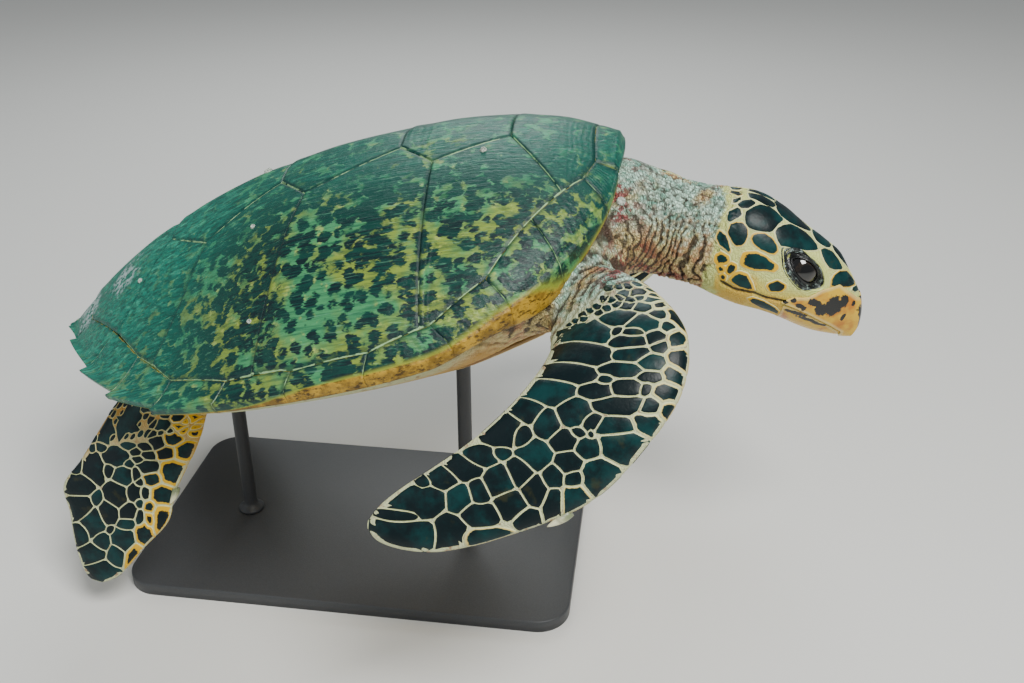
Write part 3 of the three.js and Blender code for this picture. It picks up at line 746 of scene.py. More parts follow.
def wrinkleShoulders(bm):
    # The skin between the rim and the front limbs is divided finer and creased
    for longest in shoulders["longest"]:
        edges = [e for e in bm.edges if e.calc_length() > longest
                 and shoulderShare((e.verts[0].co + e.verts[1].co) / 2) > 0]
        bmesh.ops.subdivide_edges(bm, edges=edges, cuts=1, use_grid_fill=True)
    bmesh.ops.triangulate(bm, faces=[face for face in bm.faces if len(face.verts) > 4])
    zone = [(vert, shoulderShare(vert.co)) for vert in bm.verts]
    zone = [(vert, share) for vert, share in zone if share > 0]
    relax(bm, [vert for vert, share in zone], 3)
    bm.normal_update()
    layer = bm.verts.layers.float["crease"]
    for vert, share in zone:
        p = vert.co
        drift = noise.noise(p * 0.018) * 1.8 + noise.noise(p * 0.05) * 0.5
        phase = (p.x * 0.8 + abs(p.y) * 0.6) / shoulders["spacing"] + drift
        depth = creaseDepth(p, phase, shoulders["lined"]) * share * (1 - min(vert[layer], 1))
        vert.co -= vert.normal * depth
        vert[layer] = max(vert[layer], depth)


def sinkUnderEyes(bm):
    # The skin steps back behind the eyeballs and their lids
    for side in (1, -1):
        centre, (forward, up, gaze) = eyeFrame(side)
        outward = headFrame.to_3x3() @ gaze
        for vert in bm.verts:
            offset = headInverse @ vert.co - centre
            if offset.length < eye["sinkReach"] and offset.dot(gaze) > 0:
                ring = hypot(offset.dot(forward) / eye["opening"][0], offset.dot(up) / eye["opening"][1])
                vert.co -= outward * (eye["sink"] * smooth(1.6, 1.1, ring))


parts = [tube("trunk", 72, 76, trunkPoint), chestMesh()]
parts.append(tube("neckHead", neckHead["columns"], neckHead["rows"], neckHeadPoint))
parts += [limbTube(key, side) for key in limbs for side in ("Right", "Left")]
parts.append(tube("tail", 40, 40, tailPoint))
hide = joinParts(parts)
print("skin joined:", len(hide.verts), "points")
blendJoints(hide, parts)
for part in parts:
    part.free()
wrinkleShoulders(hide)
orbitTree = BVHTree.FromBMesh(hide)
sinkUnderEyes(hide)
hideTree = BVHTree.FromBMesh(hide)
print("skin blended")


# Scale plates: cells that reach from a seed towards its neighbours, or have an outline, laid on the skin
plateMarks = ("edge", "tone", "border")
plates = {
    "sides": 26, "grown": 1.6, "seam": 0.35, "border": 0.40,  # rays of a cell, its furthest reach, half a gap
    "leastArea": 6, "merge": 1.1, "corner": 1.5, "fewCorners": 18, "inset": 0.8, "cuts": 2,
    "lift": 0.5, "dome": 0.05, "sunk": 0.8, "furthest": 14,
}


def seedShare(seed, spot):
    # 0 at the middle of a seed's ellipse, 1 on its edge
    c, s = cos(radians(seed[4])), sin(radians(seed[4]))
    x, y = spot.x - seed[0], spot.y - seed[1]
    return hypot((x * c + y * s) / seed[2], (y * c - x * s) / seed[3])


def seedCell(seed, seeds, inside):
    # The plate reaches, each way, to where another seed's ellipse is nearer
    centre = Vector(seed[:2])
    near = [other for other in seeds if other is not seed
            and (Vector(other[:2]) - centre).length < 1.7 * (max(seed[2:4]) + max(other[2:4]))]
    turn = Matrix.Rotation(radians(seed[4]), 2)
    corners = []
    for i in range(plates["sides"]):
        angle = 2 * pi * i / plates["sides"]
        arm = turn @ Vector((seed[2] * cos(angle), seed[3] * sin(angle)))
        low, high = 0, plates["grown"]
        for _ in range(8):
            middle = (low + high) / 2
            spot = centre + arm * middle
            if inside(spot) and all(seedShare(other, spot) > middle for other in near):
                low = middle
            else:
                high = middle
        corners.append(centre + arm.normalized() * max(arm.length * low - plates["seam"], 0.2))
    return flatCell(corners)[0]


def flatCell(corners):
    cell = bmesh.new()
    return cell, cell.faces.new([cell.verts.new((x, y, 0)) for x, y in corners])


def outlineCell(points, grown):
    # A few corners, grown a little so that the plate's own pale border falls outside the dark field
    cell, face = flatCell(points)
    face.normal_update()
    if face.normal.z < 0:
        face.normal_flip()
    middle = face.calc_center_median()
    for vert in cell.verts:
        vert.co += (vert.co - middle).normalized() * grown
    return cell


def layPlate(cell, tone, border, onto):
    # Rounds a cell's corners, domes it and carries it to the skin; False if it is too small or too far off
    if cell.faces[:][0].calc_area() < plates["leastArea"]:
        return False
    merge(cell, plates["merge"])
    if not cell.faces:
        return False
    corner = min(plates["corner"], sqrt(cell.faces[:][0].calc_area()) * 0.13)
    if len(cell.verts) < plates["fewCorners"]:
        bmesh.ops.bevel(cell, geom=cell.verts[:], affect="VERTICES", offset=corner, segments=2, profile=0.5,
                        material=-1, clamp_overlap=True)
    edgeMark, toneMark, borderMark = [cell.verts.layers.float.new(mark) for mark in plateMarks]
    height = cell.verts.layers.float.new("height")
    face = cell.faces[:][0]
    outline = [vert.co.xy for vert in face.verts]
    middle = face.calc_center_median()
    inner = distanceTo(middle.xy, outline + outline[:1])
    inset = min(plates["inset"], inner * 0.4)
    bmesh.ops.inset_region(cell, faces=[face], thickness=inset, use_even_offset=True, use_boundary=True)
    core = [other for other in cell.faces if all(not e.is_boundary for e in other.edges)]
    for vert in cell.verts:
        onRim = any(e.is_boundary for e in vert.link_edges)
        vert[edgeMark] = 0.0 if onRim else inset
        vert[height] = plates["lift"] * (0.2 if onRim else 1)
    centre = bmesh.ops.poke(cell, faces=core)["verts"]
    for vert in centre:
        vert[edgeMark], vert[height] = inner, plates["lift"] + min(inner * plates["dome"], 1)
    spokes = [e for e in cell.edges if any(v in centre for v in e.verts)]
    bmesh.ops.subdivide_edges(cell, edges=spokes, cuts=plates["cuts"])
    wall = bmesh.ops.extrude_edge_only(cell, edges=[e for e in cell.edges if e.is_boundary])["geom"]
    for item in wall:
        if isinstance(item, bmesh.types.BMVert):
            item[height] = -plates["sunk"]
    capHoles(cell)
    for vert in cell.verts:
        vert[toneMark], vert[borderMark] = tone, border
        place, normal, _, away = hideTree.find_nearest(onto(*vert.co.xy))
        if away > plates["furthest"]:
            return False
        vert.co = place + normal * vert[height]
    faceOut(cell)
    return True


def addPlates(sheet, cells, onto):
    # cells: the flat cell, its tone and the width of its border
    for cell, tone, border in cells:
        if layPlate(cell, tone, border, onto):
            append(sheet, cell)
        cell.free()


# Large scales on the limbs' outer side: travel from the root, across to the leading edge, half sizes, turn
limbScales = {
    "front": [
        (148, -25, 31, 12, 58), (176, -30, 32, 13, 75), (196, -36, 27, 12, 86), (144, 13, 15, 8, 86),
        (152, 32, 15, 8, 88), (141, 51, 10, 6, -70), (140, 62, 12, 8, 0), (153, 55, 8, 5, -62),
        (158, 7, 6, 4, -60), (160, 23, 10, 5, -82), (165, 42, 8, 6, -70), (164, 59, 10, 5, -26),
        (168, 16, 17, 6, -90), (172, 46, 8, 5, -74), (180, 20, 17, 6, -85), (184, 39, 12, 6, -88),
        (178, 60, 8, 8, 0), (192, 11, 19, 6, -88), (195, 41, 10, 4, -85), (201, 2, 6, 4, -90),
        (190, 58, 7, 8, 0), (212, -2, 15, 7, -86), (206, 22, 12, 6, -85), (204, 40, 4, 4, -88),
        (203, 57, 7, 9, 0), (220, 22, 19, 7, -81), (216, 50, 8, 7, -60), (214, 63, 7, 6, 0),
        (130, 26, 7, 5, 87), (134, 37, 9, 5, 85), (130, 54, 10, 4, -45), (122, 49, 8, 4, -61),
        (111, 41, 8, 5, -51), (110, 29, 6, 4, -52), (122, 30, 4, 4, -38), (120, 40, 4, 4, 69),
        (114, 54, 7, 4, -41), (116, 15, 4, 4, -18), (124, 17, 4, 4, -47), (96, 20, 4, 4, 67),
        (98, 30, 4, 4, 83), (124, 62, 3, 4, 32), (99, 36, 4, 4, 67), (220, -42, 23, 16, -88),
        (246, -46, 17, 14, 60), (274, -48, 19, 16, 39), (273, -33, 14, 8, 42), (252, -23, 18, 10, 48),
        (234, -9, 16, 12, 59), (226, 54, 12, 8, 84), (236, 30, 15, 7, -79), (238, 11, 8, 7, 78),
        (250, 6, 6, 4, 76), (248, 17, 2, 4, -45), (262, 0, 12, 10, 62), (260, 23, 10, 8, 80),
        (249, 46, 16, 11, -88), (285, -10, 16, 13, 46), (278, 17, 12, 9, 60), (279, 48, 16, 11, 51),
        (308, -6, 17, 9, 43), (297, 18, 13, 7, 38), (290, 33, 8, 6, 44), (318, 20, 16, 9, 44),
        (322, 41, 19, 6, 44), (310, 52, 18, 8, 43), (342, 20, 15, 10, 48), (346, 41, 12, 8, 42),
        (316, -39, 13, 11, 11), (300, -31, 7, 7, 56), (339, -36, 16, 13, 20), (364, -34, 16, 11, 28),
        (388, -36, 10, 6, 20), (411, -19, 32, 15, 0), (435, -8, 20, 6, -5), (440, 11, 27, 13, -7),
        (370, -9, 17, 10, 41), (351, -7, 16, 7, 50), (328, -8, 17, 11, 41), (400, 20, 17, 11, 56),
        (370, 14, 13, 12, 22), (384, 38, 16, 9, -38),
    ],
    "hind": [
        (76, -25, 24, 15, 54), (82, -54, 19, 10, 53), (105, -50, 9, 4, 65), (105, -62, 6, 4, 44),
        (120, -25, 17, 9, 62), (135, -46, 27, 11, 39), (140, -22, 10, 5, 37), (164, -50, 19, 14, 68),
        (130, -71, 17, 6, 33), (150, 2, 14, 8, 47), (176, 0, 15, 14, 16), (170, 23, 10, 8, 20),
        (195, -46, 18, 13, -68), (182, -23, 10, 7, -32), (198, -11, 17, 14, -24), (194, 15, 12, 9, -59),
        (212, -26, 20, 16, 12), (219, -4, 6, 5, 16), (210, 14, 10, 8, 82), (231, -40, 13, 12, 36),
        (238, -9, 15, 10, 25), (231, 17, 17, 13, 43), (256, -15, 16, 14, -55), (256, 13, 16, 10, 20),
        (255, 35, 19, 9, -1), (279, 3, 18, 15, -69), (222, 40, 17, 11, 18), (200, 30, 9, 5, 5),
        (202, 42, 9, 5, 14), (186, 43, 7, 5, -38), (183, 30, 5, 4, -11), (170, 37, 7, 5, 41),
        (202, 57, 19, 9, -6), (172, 58, 12, 11, 60), (153, 41, 10, 7, 76), (158, 26, 5, 4, 55),
        (146, 17, 10, 4, 28), (138, 27, 15, 6, 75), (148, 60, 17, 10, 56), (132, 2, 7, 4, 65),
        (128, 10, 7, 4, 65), (116, 2, 7, 4, 57), (123, 22, 9, 4, 69), (123, 42, 11, 6, 72),
        (111, 12, 9, 4, 68), (105, 24, 12, 6, 41), (122, 64, 11, 8, 58), (106, -12, 9, 4, 68),
        (94, 14, 8, 4, 77), (104, 42, 12, 6, 59), (99, 65, 7, 4, 57), (84, 22, 8, 6, 62),
        (87, 42, 8, 4, 75), (75, 36, 8, 5, 71), (76, 55, 8, 5, 59), (70, 19, 6, 4, 53), (64, -10, 7, 4, 69),
    ],
}
# Rows of scales on the inner side: across (1 leading, -1 trailing), first and last place,
# spacing at both ends, half width
scaleRows = {
    "front": [
        (0.82, 92, 462, 13, 34, 18), (0.50, 94, 455, 12, 27, 16), (0.20, 98, 462, 13, 25, 15),
        (-0.12, 100, 455, 14, 25, 16), (-0.42, 104, 455, 15, 27, 17), (-0.78, 106, 448, 18, 34, 26),
    ],
    "hind": [
        (0.78, 70, 285, 12, 22, 14), (0.40, 66, 290, 12, 19, 12), (0.02, 62, 288, 13, 18, 12),
        (-0.36, 58, 288, 13, 19, 12), (-0.76, 55, 280, 15, 24, 16),
    ],
}
# Small scales near the root: first and last place, spacing, slant of the first row
smallScales = {"front": (84, 132, 8.5, 0.40), "hind": (56, 100, 9.0, -0.10)}


def rowSeeds(key, chance):
    sections, seeds = limbRuns[key], []
    for across, start, end, first, last, half in scaleRows[key]:
        x = start + chance.uniform(0, first)
        while x < min(end, sections[-1]["travelled"] - 4):
            spacing = mix(first, last, clamp((x - start) / 170))
            width = sectionBy(sections, x)["width"]
            y = (across + chance.uniform(-0.05, 0.05)) * width / 2
            along = x + chance.uniform(-0.12, 0.12) * spacing
            seeds.append((along, y, spacing * 0.6, max(min(half, width * 0.15), 4), 0))
            x += spacing * chance.uniform(0.85, 1.15)
    return seeds


def outerSeeds(key, chance, drift):
    seeds = [(x + chance.uniform(-drift, drift), y + chance.uniform(-drift, drift), *rest)
             for x, y, *rest in limbScales[key]]
    x, last, spacing, slant = smallScales[key]
    first = x
    while x < last:
        half = sectionBy(limbRuns[key], x)["width"] / 2
        y = 2 - half
        while y < half:
            spot = Vector((x + chance.uniform(-0.3, 0.3) * spacing, y + chance.uniform(-0.2, 0.2) * spacing))
            begins = spot.x > first + (half - spot.y) * slant
            if begins and all((Vector(seed[:2]) - spot).length > spacing * 0.45 + min(seed[2:4]) * 0.8
                              for seed in seeds):
                seeds.append((spot.x, spot.y, spacing * 0.5, spacing * 0.42, chance.uniform(-20, 20)))
            y += spacing
        x += spacing
    return seeds


# wrap: how far the plates of a side reach past the edges
limbSheets = {
    "outerWrap": 1.5, "innerWrap": -4.5, "rightSeed": 3, "leftSeed": 7, "leftDrift": 1.5, "innerEdging": 1.0,
}


def limbPlates(key, left):
    limb, sections = limbs[key], limbRuns[key]
    halves = [sectionBy(sections, x)["width"] / 2 for x in range(int(sections[-1]["travelled"]) + 1)]
    toPivot = Matrix.Translation(limb["pivot"])
    turn = toPivot @ Matrix.Rotation(radians(limb["drop"]), 4, "X") @ toPivot.inverted()
    flip = turn @ mirrorSide if left else Matrix.Identity(4)
    chance = random.Random(limbSheets["leftSeed" if left else "rightSeed"])
    sheet = newMesh(plateMarks)

    def laySide(side, wrap, seeds):
        def onto(x, y):
            section = sectionBy(sections, x)
            along = clamp(2 * y / section["width"], -1, 1)
            point = limbPoint(section, along, sqrt(max(1 - along * along, 0)) * side)
            return flip @ (point - section["up"] * side * max(abs(y) - section["width"] / 2, 0))

        def inside(spot):
            return 0 <= spot.x < len(halves) - 2 and abs(spot.y) < halves[int(spot.x)] + wrap

        cells = []
        for seed in seeds:
            share = seed[1] / (sectionBy(sections, seed[0])["width"] / 2)
            wider, begin, end = limb["edging"]
            edging = wider * smooth(begin, end, share) if side > 0 else limbSheets["innerEdging"]
            cells.append((seedCell(seed, seeds, inside), chance.random(), plates["border"] + edging))
        addPlates(sheet, cells, onto)

    laySide(1, limbSheets["outerWrap"], outerSeeds(key, chance, limbSheets["leftDrift"] if left else 0))
    laySide(-1, limbSheets["innerWrap"], rowSeeds(key, chance))
    return sheet


headScales = [  # border, then corners on the right half: u towards the snout, angle from the top in degrees
    (0.9, [(3, 2), (8, 1), (18, 1), (27, 1), (33, 2), (35, 7), (31, 13), (23, 15), (13, 13), (5, 12)]),
    (1.2, [(-5, 25), (0, 19), (6, 15), (11, 18), (11, 21), (6, 28), (1, 30), (-3, 28)]),
    (1.2, [(-11, 25), (-10, 18), (-4, 13), (-3, 18), (-7, 24)]),
    (1.2, [(-11, 43), (-10, 37), (-4, 31), (0, 33), (2, 39), (0, 43), (-5, 49), (-9, 48)]),
    (0.9, [(7, 40), (6, 33), (12, 25), (18, 19), (28, 15), (36, 16), (45, 19), (46, 22), (42, 30),
           (40, 37), (38, 42), (32, 45), (24, 48), (16, 49), (10, 46)]),
    (1.2, [(43, 40), (44, 34), (49, 27), (57, 19), (67, 15), (76, 13), (84, 16), (91, 21), (94, 27),
           (91, 31), (82, 37), (71, 42), (61, 46), (55, 49), (49, 46)]),
    (1.3, [(98, 25), (103, 18), (112, 15), (121, 21), (129, 25), (129, 30), (121, 40), (114, 42),
           (107, 37), (102, 31)]),
    (1.6, [(126, 63), (123, 54), (124, 46), (129, 36), (137, 19), (144, 12), (153, 3), (153, 19),
           (146, 40), (139, 52), (131, 60)]),
    (1.0, [(156, 3), (155, 14), (151, 31), (151, 42), (157, 34), (161, 12), (163, 3)]),
    (1.5, [(-2, 60), (-3, 52), (2, 49), (7, 48), (14, 52), (17, 57), (18, 63), (16, 67), (11, 69), (6, 67),
           (2, 63)]),
    (1.5, [(-13, 66), (-13, 60), (-9, 61), (-1, 66), (5, 72), (9, 75), (8, 78), (3, 76), (-4, 73),
           (-10, 70)]),
    (1.6, [(23, 58), (23, 54), (26, 51), (34, 48), (42, 48), (49, 51), (53, 55), (51, 60), (44, 61),
           (37, 61), (29, 61)]),
    (2.4, [(25, 78), (24, 72), (27, 70), (36, 67), (44, 67), (51, 67), (58, 67), (61, 70), (58, 75),
           (50, 76), (42, 78), (33, 81), (28, 81)]),
    (1.8, [(62, 88), (63, 85), (69, 81), (78, 81), (80, 84), (77, 88), (69, 90)]),
    (2.4, [(25, 97), (26, 90), (31, 88), (37, 88), (45, 91), (51, 96), (45, 99), (37, 99), (29, 99)]),
    (2.8, [(0, 84), (2, 81), (8, 82), (12, 84), (10, 86), (5, 88), (2, 87)]),
    (2.6, [(16, 88), (17, 85), (21, 85), (23, 87), (21, 91), (18, 91)]),
    (2.6, [(6, 92), (8, 90), (12, 90), (13, 92), (10, 95)]),
    (2.6, [(14, 99), (15, 96), (18, 97), (19, 100), (17, 102)]),
    (2.0, [(53, 114), (57, 108), (68, 109), (81, 114), (90, 121), (93, 132), (84, 129), (72, 126),
           (59, 120)]),
    (1.4, [(-15, 8), (-14, 2), (-7, 2), (-3, 8), (-7, 12)]),
]
headMiddle = [  # scales across the middle line: corners of their right half
    (1.0, [(34, 0), (38, 12), (44, 17), (55, 17), (64, 13), (73, 9), (80, 5), (82, 0)]),
    (1.0, [(85, 0), (86, 7), (90, 14), (96, 15), (103, 14), (107, 9), (109, 0)]),
    (1.0, [(112, 0), (114, 8), (118, 12), (125, 14), (132, 10), (137, 4), (139, 0)]),
]


def headPlates():
    chance = random.Random(11)
    outlines = [(border, points + [(u, -angle) for u, angle in points[::-1] if angle])
                for border, points in headMiddle]
    for border, points in headScales:
        mirrored = [(u, -angle) for u, angle in points[::-1]]
        outlines += [(border, points), (border * chance.uniform(0.8, 1.2), mirrored)]

    def onto(u, angle):
        k = len(neckRings) + u / 42 if u < 0 else ringAtU(u)
        return runPoint(k, radians(angle))

    sheet = newMesh(plateMarks)
    # Head plates draw higher tones and so look more teal: painted sky light on the up-facing head
    cells = [(outlineCell(points, border + 1.2), chance.uniform(0.5, 1.1), border)
             for border, points in outlines]
    addPlates(sheet, cells, onto)
    return sheet


# Eyes and lids
def eyeMesh(side):
    centre, axes = eyeFrame(side)
    bm = newMesh(("turned",), True)
    bmesh.ops.create_uvsphere(bm, u_segments=48, v_segments=48, radius=eye["radius"], calc_uvs=True)
    layer = bm.verts.layers.float["turned"]
    for vert in bm.verts:
        vert[layer] = acos(clamp(vert.co.z / eye["radius"], -1, 1))
    turn = Matrix(axes).transposed().to_4x4()
    if turn.determinant() < 0:
        turn = turn @ Matrix.Diagonal((-1, 1, 1, 1))
    move(bm, headFrame @ Matrix.Translation(centre) @ turn)
    faceOut(bm)
    return bm


lids = {
    "columns": 128, "rows": 44, "start": 0.9, "roll": 0.96, "reach": 2.2, "skinAt": (1.02, 1.5),
    "overEye": 1.4, "swell": 0.8, "folds": 5.2, "foldDepth": 1.3, "tuck": 1.6,
    "dark": (1.38, 2.0), "darkSoft": 0.14,
}


def lidMesh(side):
    # Rings round the opening: they start on the eyeball, fold, and end in the skin of the head
    centre, (forward, up, gaze) = eyeFrame(side)
    turn = headFrame.to_3x3()
    middle, outward = headFrame @ centre, turn @ gaze
    ballReach = eye["radius"] + lids["overEye"]
    limit = ballReach * 0.84
    width, height = eye["opening"]

    def place(s, t):
        angle, rolled = 2 * pi * s, 0.06
        if t < rolled:
            ring = mix(lids["start"], lids["roll"], t / rolled)
        else:
            ring = mix(lids["roll"], lids["reach"], ((t - rolled) / (1 - rolled)) ** 1.1)
        flat = forward * (ring * width * cos(angle)) + up * (ring * height * signedPower(sin(angle), 1.2))
        far = flat.length
        ball = sqrt(ballReach ** 2 - min(far, limit) ** 2) - max(far - limit, 0) * 1.4
        ball -= 2.0 * smooth(rolled, 0, t)
        hit = orbitTree.ray_cast(middle + turn @ flat + outward * 60, -outward, 120)[0]
        skinDepth = (hit - middle).dot(outward) if hit else ball
        depth = mix(ball, skinDepth, smooth(*lids["skinAt"], ring))
        drift = noise.noise(Vector((cos(angle) * 1.4, sin(angle) * 1.4, ring * 1.2 + side * 7))) * 0.9
        fold = (1 - abs(sin(pi * (ring * lids["folds"] + drift)))) ** 1.5
        depth += lids["swell"] * smooth(2.1, 1.5, ring) - lids["tuck"] * smooth(1.95, 2.2, ring)
        depth -= lids["foldDepth"] * fold * smooth(1.0, 1.12, ring) * smooth(2.12, 1.85, ring)
        darkEnd = mix(*lids["dark"], smooth(0.35, -0.5, cos(angle) * 0.8 + sin(angle) * 0.5))
        dark = smooth(darkEnd + lids["darkSoft"], darkEnd - lids["darkSoft"], ring)
        return middle + turn @ flat + outward * depth, ring, dark, fold

    bm = surfaceGrid(lids["columns"], lids["rows"], place, ("ring", "dark", "fold"))
    merge(bm, 0.01)
    faceOut(bm)
    if sum(face.normal.dot(outward) for face in bm.faces) < 0:
        bmesh.ops.reverse_faces(bm, faces=bm.faces[:])
    return bm


# Beak halves: the head's own surface, cut to an outline and given a wall
beaks = {
    "upper": [
        (86, -9), (94, 1), (110, 6), (119, 18), (135, 29), (150, 24), (162, 20), (200, 20), (200, -60),
        (176.5, -60), (173, -38), (169, -25), (153, -20), (130, -15.5), (105, -10.5),
    ],
    "lower": [
        (90, -12), (105, -13), (130, -18), (153, -22.5), (167, -27), (170.5, -38.5), (173, -70), (104, -70),
    ],
    "start": 80, "wall": 3.0, "lift": {"upper": 1.7, "lower": 0.0}, "columns": 180, "rows": 100,
    "blotches": [  # u, angle from the top, half sizes
        (142, 84, 11, 15), (149, 70, 6, 14), (131, 94, 8, 9), (160, 62, 3, 9), (176, 52, 8, 32),
        (164, 20, 5, 12), (120, 88, 10, 4), (106, 96, 6, 3.5), (96, 92, 4, 3), (89, 97, 4, 3),
        (112, 98, 3, 4), (158, 96, 3, 7), (158, 15, 3.5, 5), (108, 112, 16, 4), (124, 118, 14, 4),
        (140, 122, 10, 3.5),
    ],
}


def blotchAt(u, angle):
    turn = abs((angle + pi) % (2 * pi) - pi) * 180 / pi
    return max(exp(-(((u - x) / a) ** 2) - ((turn - y) / b) ** 2) for x, y, a, b in beaks["blotches"])


def sidesOf(outline):
    return zip(outline, outline[1:] + outline[:1])


def insideOutline(u, v, outline):
    inside = False
    for (u1, v1), (u2, v2) in sidesOf(outline):
        if (v1 > v) != (v2 > v) and u < (u2 - u1) * (v - v1) / (v2 - v1) + u1:
            inside = not inside
    return inside


def beakMesh(half):
    outline, lift = beaks[half], beaks["lift"][half]

    def place(s, t):
        u = mix(beaks["start"], snout, t)
        k = ringAtU(u)
        if t == 1.0:
            return runPoint(k, 0, lift) * 0.5 + runPoint(k, pi, lift) * 0.5, 0.0, 0.0
        angle = 2 * pi * s - pi
        return runPoint(k, angle, lift), 0.0, blotchAt(u, angle)

    bm = surfaceGrid(beaks["columns"], beaks["rows"], place, ("edge", "dark"))
    merge(bm, 0.01)
    turn = headFrame.to_3x3()
    for (u1, v1), (u2, v2) in sidesOf(outline):
        point, normal = headFrame @ Vector((u1, 0, v1)), turn @ Vector((v2 - v1, 0, u1 - u2))
        everything = bm.verts[:] + bm.edges[:] + bm.faces[:]
        bmesh.ops.bisect_plane(bm, geom=everything, plane_co=point, plane_no=normal, dist=0.01)
    centres = [(face, headInverse @ face.calc_center_median()) for face in bm.faces]
    outside = [face for face, centre in centres if not insideOutline(centre.x, centre.z, outline)]
    bmesh.ops.delete(bm, geom=outside, context="FACES")
    layer = bm.verts.layers.float["edge"]
    for vert in bm.verts:
        vert[layer] = distanceTo((headInverse @ vert.co).xz, outline + outline[:1])
    faceOut(bm)
    backTurn = headInverse.to_3x3()
    if sum((backTurn @ face.normal).y * (headInverse @ face.calc_center_median()).y for face in bm.faces) < 0:
        bmesh.ops.reverse_faces(bm, faces=bm.faces[:])
    bmesh.ops.solidify(bm, geom=bm.faces[:], thickness=beaks["wall"])
    bm.loops.layers.uv.remove(bm.loops.layers.uv["OFBake"])
    return bm


# Claws on the leading edges
claws = {
    "front": {"root": (272, -364, -119), "aim": (-0.8, -0.25, -0.55), "length": 24, "radius": 5.2},
    "hind": {"root": (-224, -179, -146), "aim": (-0.35, -0.3, -0.9), "length": 20, "radius": 4.6},
    "steps": 10, "hook": 1.1,
}


def clawMesh(key, left):
    claw, steps = claws[key], claws["steps"]
    bm = newMesh(("along",))
    bmesh.ops.create_circle(bm, cap_ends=True, segments=20, radius=claw["radius"])
    layer = bm.verts.layers.float["along"]
    face, before = bm.faces[:][0], claw["radius"] + 0.4
    for step in range(1, steps + 1):
        share = step / steps
        made = bmesh.ops.extrude_face_region(bm, geom=[face])["geom"]
        face = [item for item in made if isinstance(item, bmesh.types.BMFace)][0]
        after = claw["radius"] * (1 - share ** 2.2) + 0.4
        middle = Matrix.Translation(-face.calc_center_median())
        bmesh.ops.scale(bm, vec=(after / before, after / before, 1), space=middle, verts=face.verts[:])
        bmesh.ops.translate(bm, vec=(claws["hook"] * share, 0, claw["length"] / steps), verts=face.verts[:])
        before = after
        for vert in face.verts:
            vert[layer] = share
    faceOut(bm)
    aim = Vector(claw["aim"]).normalized().to_track_quat("Z", "X").to_matrix().to_4x4()
    move(bm, Matrix.Translation(claw["root"]) @ aim)
    if left:
        toLeft(bm, limbs[key])
    return bm


# Plastron: the belly's plates in one curved sheet
plastron = {
    "side": [(285, 95), (150, 147), (0, 162), (-150, 150), (-285, 62)], "front": 297, "rear": -295,
    "cross": [232, 150, 52, -52, -168, -246], "columns": 80, "rows": 130, "thickness": 5.4, "sunk": 3.4,
    "seamRise": 1.2, "seamWidth": 4,
}


def plastronMesh():
    side = plastron["side"]
    patch = {"left": side, "right": mirrorPath(side)}
    for end, corner in (("front", side[0]), ("rear", side[-1])):
        patch[end] = mirrorPath([corner]) + [(plastron[end], 0), corner]

    def place(s, t):
        point = patchPoint(patch, crowd(s, 0.08), crowd(t, 0.05))
        cross = min(abs(point.x - x - 6 * sin(abs(point.y) / 40)) for x in plastron["cross"])
        seam = min(cross, abs(point.y), *[distanceTo(point, path) for path in patch.values()])
        z = bellyHeight(point.x, abs(point.y) / (halfWidth(point.x) * skin["trunkWidth"])) - plastron["sunk"]
        z += plastron["seamRise"] * (1 - smooth(0, plastron["seamWidth"], seam)) ** 2
        return Vector((point.x, point.y, z)), seam

    bm = surfaceGrid(plastron["columns"], plastron["rows"], place, ("edge",))
    thicken(bm, Vector((0, 0, plastron["thickness"])))
    return bm


def spun(profile, steps):
    # A profile of radius and height, spun into a closed solid
    bm = newMesh()
    verts = [bm.verts.new((r, 0, z)) for r, z in profile]
    edges = [bm.edges.new(pair) for pair in zip(verts, verts[1:])]
    bmesh.ops.spin(bm, geom=verts + edges, cent=(0, 0, 0), axis=(0, 0, 1), angle=2 * pi, steps=steps,
                   use_merge=True)
    merge(bm)
    capHoles(bm)
    return bm


# Barnacles: on the shell at x and y, and on the neck at a place along its rings and an angle from the top
barnacles = [  # x, y, radius, height
    (-58, 4, 5.5, 5), (-52, -96, 3.0, 2.2), (-40, -205, 2.6, 2.0), (212, -64, 3.4, 2.4),
    (-228, -66, 3.2, 2.2),
]
neckBarnacle = {"ring": 1.05, "angle": 52, "radius": 5.2, "height": 2.2}
barnacleProfile = [(1, -1.2), (1, 0), (0.9, 0.5), (0.74, 1), (0.6, 0.96), (0.5, 0.3), (0.01, 0.15)]


def barnacleMesh():
    spots = []
    for x, y, radius, height in barnacles:
        outward = Vector((x, y, 0)).lerp(Vector((0, 0, 900)), 0.2)
        spots.append((Vector((x, y, domeHeight(x, y) + 0.6)), outward, radius, height))
    onNeck = runPoint(neckBarnacle["ring"], radians(neckBarnacle["angle"]))
    spots.append((*hideTree.find_nearest(onNeck)[:2], neckBarnacle["radius"], neckBarnacle["height"]))
    bm = newMesh()
    for place, outward, radius, height in spots:
        cone = spun([(r * radius, z * height) for r, z in barnacleProfile], 24)
        for vert in cone.verts:
            ribs = 1 + 0.07 * sin(6 * noise.noise(vert.co * 0.9) + vert.co.x * 3)
            vert.co.x, vert.co.y = vert.co.x * ribs, vert.co.y * ribs
        turn = outward.normalized().to_track_quat("Z", "Y").to_matrix().to_4x4()
        move(cone, Matrix.Translation(place) @ turn)
        faceOut(cone)
        append(bm, cone)
        cone.free()
    return bm


# Display stand
stand = {"base": (560, 340, 16), "corner": 40, "edge": 2.5, "rod": 9, "foot": 17, "pad": 21, "pressed": 3.6}


